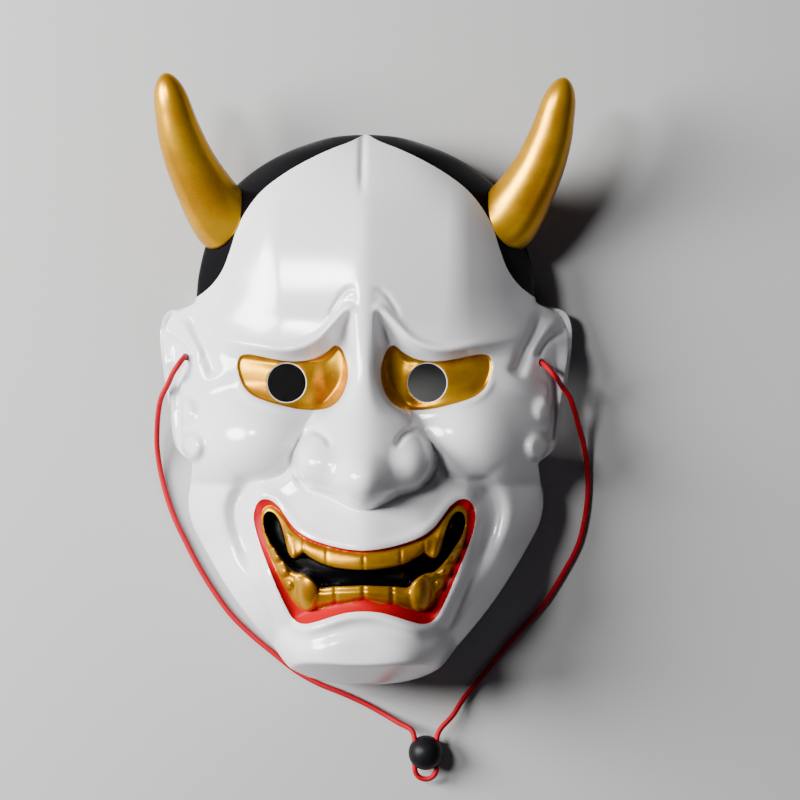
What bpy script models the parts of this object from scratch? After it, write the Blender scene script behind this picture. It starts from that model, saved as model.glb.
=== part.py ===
"""Hannya mask: a thin moulded shell, two horns, and an elastic cord with a bead.

The mask lies on its back rim, face up (+Z), with the forehead towards +Y. Sizes are in millimetres
until a mesh is made. The face is a height over the plane of the rim, worked out from a few profiles,
rounded forms and traced lines.
"""

import math

import bmesh
import bpy
import numpy as np
from mathutils import Vector
from mathutils.geometry import delaunay_2d_cdt

MM = 0.001
WALL = 1.8
DRAFT = 2.0
RING_STEP = 6.4
LINE_STEP = 5.0
FACET_ERROR = (0.44, 0.8)
GAP = 0.35
EAR_RIM = 12.0
EYE_HOLE_RADIUS = 8.6
EYE_HOLES = ((-34.6, 0.0), (27.8, 0.0))
CORD_HOLE_RADIUS = 1.65
CORD_HOLES = ((-81.9, 11.9), (80.1, 9.2))
HOLES = [(place, EYE_HOLE_RADIUS) for place in EYE_HOLES] + [(place, CORD_HOLE_RADIUS) for place in CORD_HOLES]
CORD_DIAMETER = 2.5
BEAD_RADIUS = 8.0
BEAD = (27.6, -171.4, 8.0)
BEAD_BORES = 5.05
KNOT_RING = 3.05
KNOT_THICK = 1.4
KNOT_TAIL = 2.0
EXIT_BEND = 5.6

# half of the outline, from the top of the forehead round the ear to the point of the chin
HEAD = [(0, 115), (18, 113.2), (37.5, 106.6), (52, 98.6), (62.5, 89.5), (70.5, 77), (75.6, 62), (78.6, 48),
        (79.4, 38)]
EAR = [(79.4, 38), (87, 35.2), (92.4, 32.4), (94.9, 26), (95, 17), (93.8, 7), (92.2, -4), (90.4, -14),
       (89.4, -24), (87.4, -31), (83.6, -34.8), (80, -36.6)]
JAW = [(80, -36.6), (81.6, -44.5), (83, -52), (82.8, -58.5), (80.8, -66), (76.4, -74.4), (69, -85.6),
       (58.8, -100), (49.6, -111.8), (41, -122.4), (34, -129.4), (27, -134.2), (18, -137.2), (9, -138.4),
       (0, -138.7)]

# lines of the face, right half
EYE = [(56.9, 8), (55.6, 11.8), (52, 12.7), (46.6, 11.8), (40.8, 10.6), (35, 9.7), (29.3, 9.5), (24.5, 10.1),
       (20.4, 11.5), (16.4, 14), (12.9, 16.6), (10.4, 15.2), (8.4, 11), (7.2, 6), (7.4, 1), (9, -4.2),
       (11.6, -8.2), (15.4, -10.9), (20, -12), (25, -12.1), (31, -11.4), (37, -10), (43.7, -8.1),
       (49.6, -5.7), (53.6, -2.2), (56, 3)]
LIP = [(0, -72.3), (8.3, -71.6), (16.7, -69.8), (25, -66.9), (30.4, -63.3), (34.6, -58.4), (38, -54.2),
       (41.8, -51.6), (45.4, -51.6), (48, -54.2), (49.2, -58.4), (48.6, -64), (46, -72), (41.9, -81),
       (37.8, -90.6), (34.4, -98), (31.8, -102.8), (29.2, -104.9), (25.6, -105.2), (20.5, -103.8),
       (14.2, -101.6), (7.1, -99.6), (0, -99)]
GUM = [(0, -73.2), (8.3, -72.5), (16.7, -70.7), (25.3, -67.8), (31, -64), (35.2, -59), (38.4, -55.8),
       (41.6, -54.2), (44.4, -55.4), (45.6, -58.6), (45.4, -63.5), (43.4, -72), (39.3, -81), (35.2, -89.3),
       (31.3, -95.7), (28.4, -99), (24.7, -100.2), (21, -99), (16.8, -97.6), (12.6, -96.5), (7.5, -95.7),
       (0, -94.2)]
THROAT = [(0, -81), (11.8, -80.1), (18.5, -78.3), (23.5, -75.8), (26, -74.2), (28, -75.6), (30.6, -76.6),
          (32.6, -75), (34, -71), (35.7, -65.2), (37.8, -60.2), (40.2, -57.5), (43, -57.3), (44.6, -60.4),
          (44, -65), (42, -69), (38.2, -74.5), (33.6, -80.2), (30.4, -82.7), (27, -83.2), (23.6, -84.7),
          (21, -87), (19.6, -89), (12.6, -88.5), (5, -88.1), (0, -87.9)]
CHEEK_FOLD = [(44, -45), (50.5, -46.4), (55.2, -49.8), (57.8, -55.6), (57.4, -62.5), (54.9, -70), (51, -79),
              (46.5, -88)]
CHEEK_CREASE = [(30, -27.5), (32.4, -32), (33.4, -36.6), (36, -40.6), (41, -43), (48, -43.8), (54, -42.2),
                (59.5, -38), (64, -32)]
NOSE = [(0, 70), (16, 60), (18, 20), (21, 2), (25.5, -12), (29.4, -22), (31.6, -30), (31.6, -37), (29.4, -41.8),
        (25, -45.4), (19, -47.6), (13, -50), (7.6, -53), (3.4, -55.4), (0, -56)]
NOSE_CREASE = [(23.6, -21.6), (27.6, -25), (30.6, -30), (31.6, -35.4), (30, -40.4), (26, -44.4), (21, -46.8),
               (15, -49.2), (9, -52), (4, -54.8), (0, -55.6)]
NOSTRIL_FOLD = [(26.4, -23.2), (23.2, -21.6), (19, -23), (15.4, -26.4), (13.4, -31)]
TEMPLE_SCOOP = [(80, 34), (77, 28), (73.5, 18), (70, 8)]
HELIX = [(91, 28.5), (87, 25.6), (82, 20.5), (77.5, 13.5)]
HELIX_GROOVE = [(91, 23.6), (86.5, 21.3), (81, 17.2), (77.5, 12.5)]
EAR_CREASE = [(81, 11.8), (83.8, 5.2), (84.8, -1.7), (86.2, -10.4), (84.9, -18.2), (84.6, -27), (82.6, -32.8),
              (77, -35.8)]

# the cord's route outside the mask: hand-chosen points, the last of one run next to the bead
LEFT_RUN = [(-90.2, -0.6, 24.8), (-93.6, -6.4, 20.6), (-95.5, -12.6, 15.6), (-96.8, -20.0, 10.2),
            (-97.4, -29, 5.6), (-96.4, -39.5, 2.6), (-93.6, -51.6, 1.6), (-89.5, -63.3, 1.5),
            (-84.4, -74, 1.5), (-79.2, -84.2, 1.5), (-72.2, -95.8, 1.5), (-63.4, -107.9, 1.5),
            (-53.8, -117.4, 1.5), (-43.4, -126.0, 1.5), (-33.0, -134.2, 1.5), (-22.4, -140.2, 1.5),
            (-12.0, -144.4, 1.5), (-1.4, -149.2, 1.6), (8.0, -154.2, 2.6), (15.0, -158.0, 5.0)]
RIGHT_RUN = [(40.2, -154.6, 5.0), (45.0, -147.6, 2.6), (51.2, -140.2, 1.6), (60.1, -129.3, 1.5),
             (69.0, -118.6, 1.5), (83, -103, 1.5), (91.4, -89.7, 1.5), (98.9, -75.5, 1.5), (102.2, -62.4, 1.5),
             (103.6, -48.6, 1.6), (102.9, -37.5, 3.0), (100.9, -27.6, 6.6), (98.4, -19.6, 11.4),
             (96.0, -12.4, 16.4), (93.4, -6.4, 21.0), (89.4, -1.2, 25.0)]

# middle line and radius of each horn
HORN = [(50, 67.5, 19, 17.6), (57, 71.2, 21.5, 17.0), (63.7, 75.2, 24.8, 15.8), (68.4, 80.6, 28.2, 14.2),
        (72.4, 87.4, 31.8, 12.9), (76.2, 94.8, 35.2, 11.8), (79.4, 102.2, 38.4, 10.9), (83.0, 113.4, 42.8, 9.6),
        (85.2, 123.2, 46.2, 8.2)]
HORN_TIP = 16.45


def clean_scene():
    """Take out whatever the scene holds."""
    for obj in list(bpy.data.objects):
        bpy.data.objects.remove(obj, do_unlink=True)


def smooth(a, b, t):
    """Eased step from 0 at a to 1 at b."""
    s = np.clip((t - a) / (b - a), 0.0, 1.0)
    return s * s * (3 - 2 * s)


def profile(*pairs):
    """A smooth curve (natural spline) through (place, value) pairs, as a function."""
    pairs = sorted(pairs)
    t = np.array([p[0] for p in pairs], float)
    f = np.array([p[1] for p in pairs], float)
    n = len(t)
    h = np.diff(t)
    a = np.eye(n)
    r = np.zeros(n)
    for i in range(1, n - 1):
        a[i, i - 1] = h[i - 1]
        a[i, i] = 2 * (h[i - 1] + h[i])
        a[i, i + 1] = h[i]
        r[i] = 6 * ((f[i + 1] - f[i]) / h[i] - (f[i] - f[i - 1]) / h[i - 1])
    m = np.linalg.solve(a, r)

    def value(q):
        q = np.clip(q, t[0], t[-1])
        i = np.clip(np.searchsorted(t, q) - 1, 0, n - 2)
        d = q - t[i]
        e = t[i + 1] - q
        cubic = (m[i] * e ** 3 + m[i + 1] * d ** 3) / (6 * h[i])
        return cubic + (f[i] / h[i] - m[i] * h[i] / 6) * e + (f[i + 1] / h[i] - m[i + 1] * h[i] / 6) * d

    return value


def curve_through(points, steps=6, closed=False):
    """Points on a smooth curve through the given ones, in two or three dimensions."""
    p = [np.array(q, float) for q in points]
    n = len(p)
    out = []
    for i in range(n if closed else n - 1):
        p1, p2 = p[i], p[(i + 1) % n]
        p0 = p[i - 1] if (closed or i > 0) else 2 * p1 - p2
        p3 = p[(i + 2) % n] if (closed or i + 2 < n) else 2 * p2 - p1
        d1 = max(np.linalg.norm(p1 - p0), 1e-6) ** 0.5
        d2 = max(np.linalg.norm(p2 - p1), 1e-6) ** 0.5
        d3 = max(np.linalg.norm(p3 - p2), 1e-6) ** 0.5
        m1 = ((p1 - p0) / d1 - (p2 - p0) / (d1 + d2) + (p2 - p1) / d2) * d2
        m2 = ((p2 - p1) / d2 - (p3 - p1) / (d2 + d3) + (p3 - p2) / d3) * d2
        for k in range(steps):
            s = k / steps
            out.append((2 * s ** 3 - 3 * s ** 2 + 1) * p1 + (s ** 3 - 2 * s ** 2 + s) * m1
                       + (-2 * s ** 3 + 3 * s ** 2) * p2 + (s ** 3 - s ** 2) * m2)
    if not closed:
        out.append(p[-1])
    return np.array(out)


def spaced(line, step, closed=False):
    """The same line with points an even distance apart."""
    if closed:
        line = np.vstack([line, line[:1]])
    run = np.concatenate([[0], np.cumsum(np.linalg.norm(np.diff(line, axis=0), axis=1))])
    count = max(3, int(round(run[-1] / step)))
    at = np.linspace(0, run[-1], count + 1)
    out = np.column_stack([np.interp(at, run, line[:, k]) for k in range(line.shape[1])])
    return out[:-1] if closed else out


def both_sides(half, steps=5):
    """A closed line from a right half that starts and ends on the middle plane."""
    return curve_through(list(half) + [(-x, y) for x, y in half[-2:0:-1]], steps, True)


def nearest(x, y, line, closed=False, reach=30.0):
    """Distance to a line, place along it (0 to 1) and side of it, for points within reach."""
    dist = np.full(x.shape, 60.0)
    along = np.zeros(x.shape)
    side = np.ones(x.shape)
    low, high = line.min(0) - reach, line.max(0) + reach
    m = (x > low[0]) & (x < high[0]) & (y > low[1]) & (y < high[1])
    if not m.any():
        return dist, along, side
    px, py = x[m], y[m]
    a, b = line, np.roll(line, -1, 0)
    if not closed:
        a, b = a[:-1], b[:-1]
    run = np.concatenate([[0], np.cumsum(np.linalg.norm(b - a, axis=1))])
    best = np.full(px.shape, 3600.0)
    al = np.zeros(px.shape)
    sd = np.ones(px.shape)
    for i in range(len(a)):
        dx, dy = b[i] - a[i]
        qx, qy = px - a[i, 0], py - a[i, 1]
        t = np.clip((qx * dx + qy * dy) / max(dx * dx + dy * dy, 1e-12), 0, 1)
        d2 = (qx - t * dx) ** 2 + (qy - t * dy) ** 2
        w = d2 < best
        best[w] = d2[w]
        al[w] = (run[i] + t[w] * (run[i + 1] - run[i])) / run[-1]
        sd[w] = np.sign(dx * qy[w] - dy * qx[w])
    dist[m] = np.sqrt(best)
    along[m] = al
    side[m] = sd
    return dist, along, side


def is_inside(x, y, line):
    """True for points inside a closed line."""
    c = np.zeros(x.shape, bool)
    for (x1, y1), (x2, y2) in zip(line, np.roll(line, -1, 0)):
        if y1 != y2:
            c ^= ((y1 > y) != (y2 > y)) & (x < (x2 - x1) * (y - y1) / (y2 - y1) + x1)
    return c


def within(x, y, line, reach=25.0):
    """Distance inside a closed line, negative outside it."""
    d, _, _ = nearest(x, y, line, True, reach)
    return np.where(is_inside(x, y, line), d, -d)


def higher(a, b, k):
    """The higher of two forms, with a soft join k wide."""
    h = np.clip(0.5 + 0.5 * (a - b) / k, 0, 1)
    return b + (a - b) * h + k * h * (1 - h)


def lower_of(a, b, k):
    """The lower of two forms, with a soft join k wide."""
    return -higher(-a, -b, k)


def lobe(u, y, cx, cy, rx, ry, top, fall, turn=0.0):
    """A rounded form: top in the middle, lower by fall at its radii."""
    c, s = math.cos(math.radians(turn)), math.sin(math.radians(turn))
    a = ((u - cx) * c + (y - cy) * s) / rx
    b = (-(u - cx) * s + (y - cy) * c) / ry
    return top - fall * (a * a + b * b)


def groove(u, y, line, depth, width, fade=0.2):
    """A soft furrow along a line, fading at both ends; a ridge where depth is negative."""
    d, s, _ = nearest(u, y, line)
    return -depth * np.exp(-(d / width) ** 2) * smooth(0, fade, s) * smooth(0, fade, 1 - s)


half_outline = np.vstack([curve_through(HEAD)[:-1], curve_through(EAR)[:-1], curve_through(JAW)])
outline_line = np.vstack([half_outline, (half_outline[1:-1] * [-1, 1])[::-1]])
eye_line = curve_through(EYE, 5, True)
lip_line = both_sides(LIP)
gum_line = both_sides(GUM)
throat_line = both_sides(THROAT)
cheek_fold = curve_through(CHEEK_FOLD)
cheek_crease = curve_through(CHEEK_CREASE)
nose_line = both_sides(NOSE)
nose_crease = curve_through(NOSE_CREASE)
nostril_fold = curve_through(NOSTRIL_FOLD)
temple_scoop = curve_through(TEMPLE_SCOOP)
helix = curve_through(HELIX)
helix_groove = curve_through(HELIX_GROOVE)
ear_crease = curve_through(EAR_CREASE)

# profiles over y: middle height, edge height and half width of the head
crown = profile((115, 26), (112, 31), (106, 39.5), (96, 48), (82, 55.5), (65, 60.5), (48, 63), (30, 63.5),
                (15, 62.5), (0, 60.5), (-15, 58.5), (-30, 57.5), (-48, 59.5), (-64, 62), (-80, 63), (-98, 64),
                (-112, 66), (-118.5, 67.5), (-125, 66), (-131, 60), (-138.7, 50))
edge_height = profile((115, 22), (80, 20), (38, 21), (0, 21), (-40, 20), (-80, 19), (-110, 20), (-125, 22),
                      (-133, 25), (-138.7, 27))
dome_width = profile((-138.7, 0.0), (-138.2, 12), (-136.8, 20), (-134.2, 27), (-129.4, 34), (-122.4, 41),
                     (-111.8, 49.6), (-100, 58.8), (-85.6, 69), (-74.4, 76.4), (-66, 80.6), (-57, 83.0),
                     (-48, 83.0), (-38, 82.2), (-28, 85.5), (-12, 87.4), (8, 87.4), (22, 86), (32, 82.6),
                     (40, 79.4), (48, 78.6), (62, 75.6), (77, 70.5), (89.5, 62.5), (98.6, 52), (106.6, 37.5),
                     (111.6, 24), (114.2, 11), (115, 0))
# profiles over the distance from the middle: brow line, depth of the eye socket, width of its bank
brow = profile((4.0, 40.5), (6.6, 37.4), (9.4, 33), (12.6, 28), (17, 21.9), (21.5, 17.4), (27, 14.6),
               (33, 13.6), (40, 13.9), (48, 15.3), (57, 17.3), (68, 20.5))
socket = profile((4, 0), (7, 8), (10, 11.5), (14, 12.5), (20, 11), (27, 9), (36, 8), (48, 7), (58, 5),
                 (68, 2), (78, 0), (100, 0))
bank = profile((4, 3.5), (12, 3.8), (24, 5.0), (40, 5.6), (56, 7), (70, 10), (100, 10))
# the nose over y: crest of the bridge and ball, half width of the bridge
nose_crest = profile((48, 60), (40, 62.6), (34, 63.5), (22, 64), (10, 64.5), (0, 66), (-12, 70.5), (-24, 77.5),
                     (-34, 84), (-41, 87), (-47, 86.5), (-52, 83.5), (-58, 79))
bridge_width = profile((48, 9.5), (38, 7.6), (30, 5.6), (20, 5.0), (8, 5.4), (-4, 7.2), (-14, 9.5), (-30, 12))


def face_height(x, y):
    """Height of the moulding's outer surface over the plane of its rim."""
    u = np.abs(x)
    t = np.clip(u / np.maximum(dome_width(y), 0.4), 0, 1)
    low, top = edge_height(y), crown(y)
    z = low + (top - low) * (1 - t ** 3.3) ** 1.03
    keel = smooth(30, 50, y) * (1 - smooth(98, 114, y))
    z = z - (0.10 * keel + 0.02) * (np.sqrt(u * u + 12) - 3.46) * (1 - t ** 2)
    d, s, _ = nearest(u, y, temple_scoop)
    z = z - 3.6 * np.exp(-(d / 5.0) ** 2) * smooth(0, 0.25, s) * smooth(0, 0.12, 1 - s)
    # brow and eye sockets
    v = np.clip(u, 4.0, 67.5)
    slope = brow(v + 0.5) - brow(v - 0.5)
    below = (brow(v) - y) / np.sqrt(1 + slope ** 2)
    roll = np.exp(-((below + 3.4) / 2.6) ** 2)
    z = z + 1.6 * roll * smooth(5, 10, u) * (1 - smooth(40, 62, u))
    z = z - socket(np.maximum(u, 4.0)) * smooth(-0.6, bank(np.maximum(u, 4.0)), below) * smooth(-34, -8, y)
    # cheeks, muzzle and chin
    z = higher(z, lobe(u, y, 0, -79, 60, 47, 79, 37), 5)
    z = higher(z, lobe(u, y, 0, -115.5, 31, 22, 76, 26), 5)
    z = higher(z, lobe(u, y, 44.5, -24.5, 26, 22, 60.8, 14, -10), 2.0 + 4 * smooth(-34, -20, y))
    z = z - 0.10 * (np.sqrt(u * u + 5) - 2.24) * smooth(24, 10, u) * smooth(-50, -58, y) * smooth(-84, -74, y)
    z = z + groove(u, y, cheek_fold, 4.0, 5.0)
    z = z + groove(u, y, cheek_crease, 1.8, 2.2)
    # nose: a narrow bridge that opens into a tent with a ball and two wings
    q = np.clip(u / bridge_width(y), 0, 3)
    bridge = nose_crest(y) - 12 * ((q * q + 0.02) ** 1.8 - 0.0009)
    tent = nose_crest(y) - 0.72 * (np.sqrt(u * u + 30) - 5.48)
    nose = bridge + (tent - bridge) * smooth(4, -16, y)
    nose = higher(nose, lobe(u, y, 0, -42.5, 12, 13, 88.2, 17), 4)
    nose = higher(nose, lobe(u, y, 20.5, -36, 11.5, 12.5, 76.4, 12), 4)
    nose = np.where((y < 48) & (y > -64), nose - 5.5 * np.exp(-np.clip(within(u, y, nose_line), -9, 20) / 2.0), -50)
    z = higher(z, nose, 3.0 + 7 * smooth(-26, -16, y) * smooth(8, 18, u))
    z = z + groove(u, y, nose_crease, 1.2, 1.7, 0.12) + groove(u, y, nostril_fold, 1.7, 1.7, 0.3)
    # flat under the chin
    z = np.where(y < -95, lower_of(z, 66.0 - 2.55 * (-123.4 - 0.0022 * u * u - y) - 0.004 * u * u, 2.0), z)
    # eyes
    eye = within(u, y, eye_line)
    z = z + 0.7 * np.exp(-((eye + 1.6) / 1.5) ** 2) * smooth(4, -4, y)
    z = z - 1.5 * smooth(-0.3, 1.2, eye)
    z = z + 2.6 * np.exp(-((u - 31) / 15) ** 2 - (y / 11) ** 2) * smooth(0, 6, eye)
    # mouth: rim, bevelled lip, teeth, throat
    lip, gum, throat = (within(x, y, line) for line in (lip_line, gum_line, throat_line))
    lower = smooth(-70, -95, y)
    z = z + (1.0 + 0.8 * lower) * np.exp(-((lip + 1.9) / 2.2) ** 2)
    z = z - 1.6 * lower * np.exp(-((lip + 7.0) / 3.2) ** 2)
    across = np.clip(lip / np.maximum(lip - gum, 0.3), 0, 1)
    z = z - np.where(lip > 0, 3.6 * across ** 0.8, 0)
    z = z + np.where(gum > 0, 1.6 * smooth(0, 1.6, gum), 0)
    z = z - 8.5 * smooth(-0.4, 1.0, throat)
    # parting of the hair
    z = z - 1.6 * np.exp(-(x / 1.6) ** 2) * smooth(86, 94, y)
    # ears
    ear = (u > 66) & (np.abs(y) < 45)
    d, s, _ = nearest(u, y, ear_crease)
    relief = groove(u, y, helix, -2.8, 2.2, 0.25) + groove(u, y, helix_groove, 2.2, 2.0, 0.25)
    relief = relief - 1.8 * np.exp(-(d / 1.2) ** 2) * smooth(0, 0.06, s) * smooth(0, 0.06, 1 - s)
    relief = relief + 3.6 * np.exp(-((u - 81.4) / 3.2) ** 2 - ((y + 13) / 4.6) ** 2)
    relief = relief + 5.0 * np.exp(-((u - 78.5) / 4.6) ** 4 - ((y + 29) / 6.0) ** 4)
    return z + np.where(ear, relief, 0)


def rim_height(x, y):
    """The back rim is flat on the ground but rises behind the ears."""
    u = np.abs(x)
    return EAR_RIM * smooth(80.4, 90, u) * smooth(-37.5, -31, y) * smooth(38.2, 34, y)


def offset_ring(ring, distance):
    """The closed ring moved inward by a distance, point by point."""
    step = np.roll(ring, -1, 0) - np.roll(ring, 1, 0)
    normal = np.column_stack([step[:, 1], -step[:, 0]])
    normal /= np.linalg.norm(normal, axis=1)[:, None]
    for _ in range(2):
        normal = np.roll(normal, 1, 0) + 2 * normal + np.roll(normal, -1, 0)
        normal /= np.linalg.norm(normal, axis=1)[:, None]
    moved = ring - normal * distance
    if is_inside(moved[:1, 0], moved[:1, 1], ring)[0] != (distance > 0):
        moved = ring + normal * distance
    return moved


class Field:
    """A height worked out once on a fine even grid and read anywhere on it."""

    def __init__(self, values=None, step=0.6):
        self.step = step
        self.xs = np.arange(-99.0, 99.01, step)
        self.ys = np.arange(-142.2, 118.8, step)
        gx, gy = np.meshgrid(self.xs, self.ys)
        self.z = face_height(gx, gy) if values is None else values

    def at(self, x, y):
        fx = np.clip((x - self.xs[0]) / self.step, 0, len(self.xs) - 1.001)
        fy = np.clip((y - self.ys[0]) / self.step, 0, len(self.ys) - 1.001)
        i, j = fx.astype(int), fy.astype(int)
        a, b = fx - i, fy - j
        z = self.z
        return (z[j, i] * (1 - a) + z[j, i + 1] * a) * (1 - b) + (z[j + 1, i] * (1 - a) + z[j + 1, i + 1] * a) * b

    def rolled_under(self, wall):
        """The surface that a ball of the wall's radius leaves when it rolls along the underside."""
        reach = int(wall / self.step)
        pad = np.pad(self.z, reach, mode="edge")
        rows, cols = self.z.shape
        out = np.full(self.z.shape, 1e9)
        for i in range(-reach, reach + 1):
            for j in range(-reach, reach + 1):
                d2 = (i * i + j * j) * self.step ** 2
                if d2 <= wall * wall:
                    part = pad[reach + j:reach + j + rows, reach + i:reach + i + cols]
                    out = np.minimum(out, part - math.sqrt(wall * wall - d2))
        return Field(out, self.step)

    def spacing(self, error, least, most):
        """How far apart points may lie for flat facets to stay within an error."""
        gy, gx = np.gradient(self.z, self.step)
        gyy, _ = np.gradient(gy, self.step)
        gxy, gxx = np.gradient(gx, self.step)
        bend = np.sqrt(gxx ** 2 + gyy ** 2 + 2 * gxy ** 2)
        for _ in range(3):
            pad = np.pad(bend, 1, mode="edge")
            bend = (pad[:-2, 1:-1] + pad[2:, 1:-1] + pad[1:-1, :-2] + pad[1:-1, 2:] + 2 * bend) / 6
        return np.clip(np.sqrt(8 * error / np.maximum(bend, 1e-6)), least, most)


def scatter(field, gaps, ring, holes, lines):
    """Points that fill the ring, closer together where the surface bends more."""
    xs, ys, step = field.xs, field.ys, field.step
    taken = np.zeros(field.z.shape, bool)

    def cover(x, y, radius):
        i0, i1 = (np.searchsorted(xs, x - radius), np.searchsorted(xs, x + radius))
        j0, j1 = (np.searchsorted(ys, y - radius), np.searchsorted(ys, y + radius))
        block = (xs[None, i0:i1] - x) ** 2 + (ys[j0:j1, None] - y) ** 2 < radius * radius
        taken[j0:j1, i0:i1] |= block

    gx, gy = np.meshgrid(xs, ys)
    taken |= within(gx, gy, ring, 12) < 1.6
    for (cx, cy), radius in holes:
        taken |= (gx - cx) ** 2 + (gy - cy) ** 2 < (radius + 1.6) ** 2
    for line in lines:
        for x, y in line:
            i = min(max(int((x - xs[0]) / step), 0), len(xs) - 1)
            j = min(max(int((y - ys[0]) / step), 0), len(ys) - 1)
            cover(x, y, min(gaps[j, i], 3.2) * 0.8)
    order = np.argsort(np.where(taken, 99.0, gaps), axis=None, kind="stable")
    rows, cols = np.unravel_index(order, gaps.shape)
    out = []
    for j, i in zip(rows, cols):
        if not taken[j, i]:
            out.append((xs[i], ys[j]))
            cover(xs[i], ys[j], gaps[j, i] * 0.86)
    return out


def triangulated(ring, holes, lines, points):
    """Plan of one skin: its points, its triangles and the places of the ring's and holes' points."""
    coords = [tuple(p) for p in ring]
    edges = [(i, (i + 1) % len(ring)) for i in range(len(ring))]
    starts = []
    for loop in holes:
        first = len(coords)
        starts.append((first, len(loop)))
        coords += [tuple(p) for p in loop]
        edges += [(first + i, first + (i + 1) % len(loop)) for i in range(len(loop))]
    for line, closed in lines:
        first = len(coords)
        coords += [tuple(p) for p in line]
        edges += [(first + i, first + i + 1) for i in range(len(line) - 1)]
        if closed:
            edges.append((first + len(line) - 1, first))
    coords += points
    verts, _, faces, sources, _, _ = delaunay_2d_cdt([Vector(c) for c in coords], edges, [], 0, 1e-4, True)
    flat = np.array([(v.x, v.y) for v in verts])
    tris = np.array([f for f in faces if len(f) == 3])
    mid = flat[tris].mean(axis=1)
    keep = is_inside(mid[:, 0], mid[:, 1], ring)
    for loop in holes:
        keep &= ~is_inside(mid[:, 0], mid[:, 1], loop)
    place = {}
    for index, source in enumerate(sources):
        for s in source:
            place[s] = index
    ring_at = [place[i] for i in range(len(ring))]
    holes_at = [[place[first + i] for i in range(count)] for first, count in starts]
    return flat, tris[keep], ring_at, holes_at


def circle(cx, cy, radius, count):
    turn = np.arange(count) * 2 * math.pi / count
    return np.column_stack([cx + radius * np.cos(turn), cy + radius * np.sin(turn)])


def clear_runs(line, closed):
    """The stretches of a line that keep clear of every hole."""
    keep = np.ones(len(line), bool)
    for (cx, cy), radius in HOLES:
        keep &= np.hypot(line[:, 0] - cx, line[:, 1] - cy) > radius + 1.2
    if keep.all():
        return [(line, closed)]
    if closed:
        turn = int(np.argmin(keep))
        line, keep = np.roll(line, -turn, 0), np.roll(keep, -turn)
    runs, run = [], []
    for point, free in zip(line, keep):
        if free:
            run.append(point)
        elif run:
            runs.append(run)
            run = []
    if run:
        runs.append(run)
    return [(np.array(run), False) for run in runs if len(run) > 1]


def mirrored(line):
    return line * [-1, 1]


def mesh_object(name, verts, faces, collection):
    """A closed mesh, in metres, with its faces turned outward."""
    mesh = bpy.data.meshes.new(name)
    mesh.from_pydata([tuple(float(c) * MM for c in v) for v in verts], [], faces)
    bm = bmesh.new()
    bm.from_mesh(mesh)
    loose = [v for v in bm.verts if not v.link_faces]
    bmesh.ops.delete(bm, geom=loose, context="VERTS")
    bmesh.ops.recalc_face_normals(bm, faces=bm.faces)
    bm.to_mesh(mesh)
    bm.free()
    obj = bpy.data.objects.new(name, mesh)
    collection.objects.link(obj)
    return obj


def smooth_shaded(obj, degrees=35):
    obj.data.shade_smooth()
    obj.data.set_sharp_from_angle(angle=math.radians(degrees))


def material(obj, color, roughness, metallic=0.0):
    mat = bpy.data.materials.new(obj.name)
    mat.use_nodes = True
    shader = mat.node_tree.nodes["Principled BSDF"]
    shader.inputs["Base Color"].default_value = (*color, 1)
    shader.inputs["Roughness"].default_value = roughness
    shader.inputs["Metallic"].default_value = metallic
    mat.diffuse_color = (*color, 1)
    obj.data.materials.append(mat)


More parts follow.
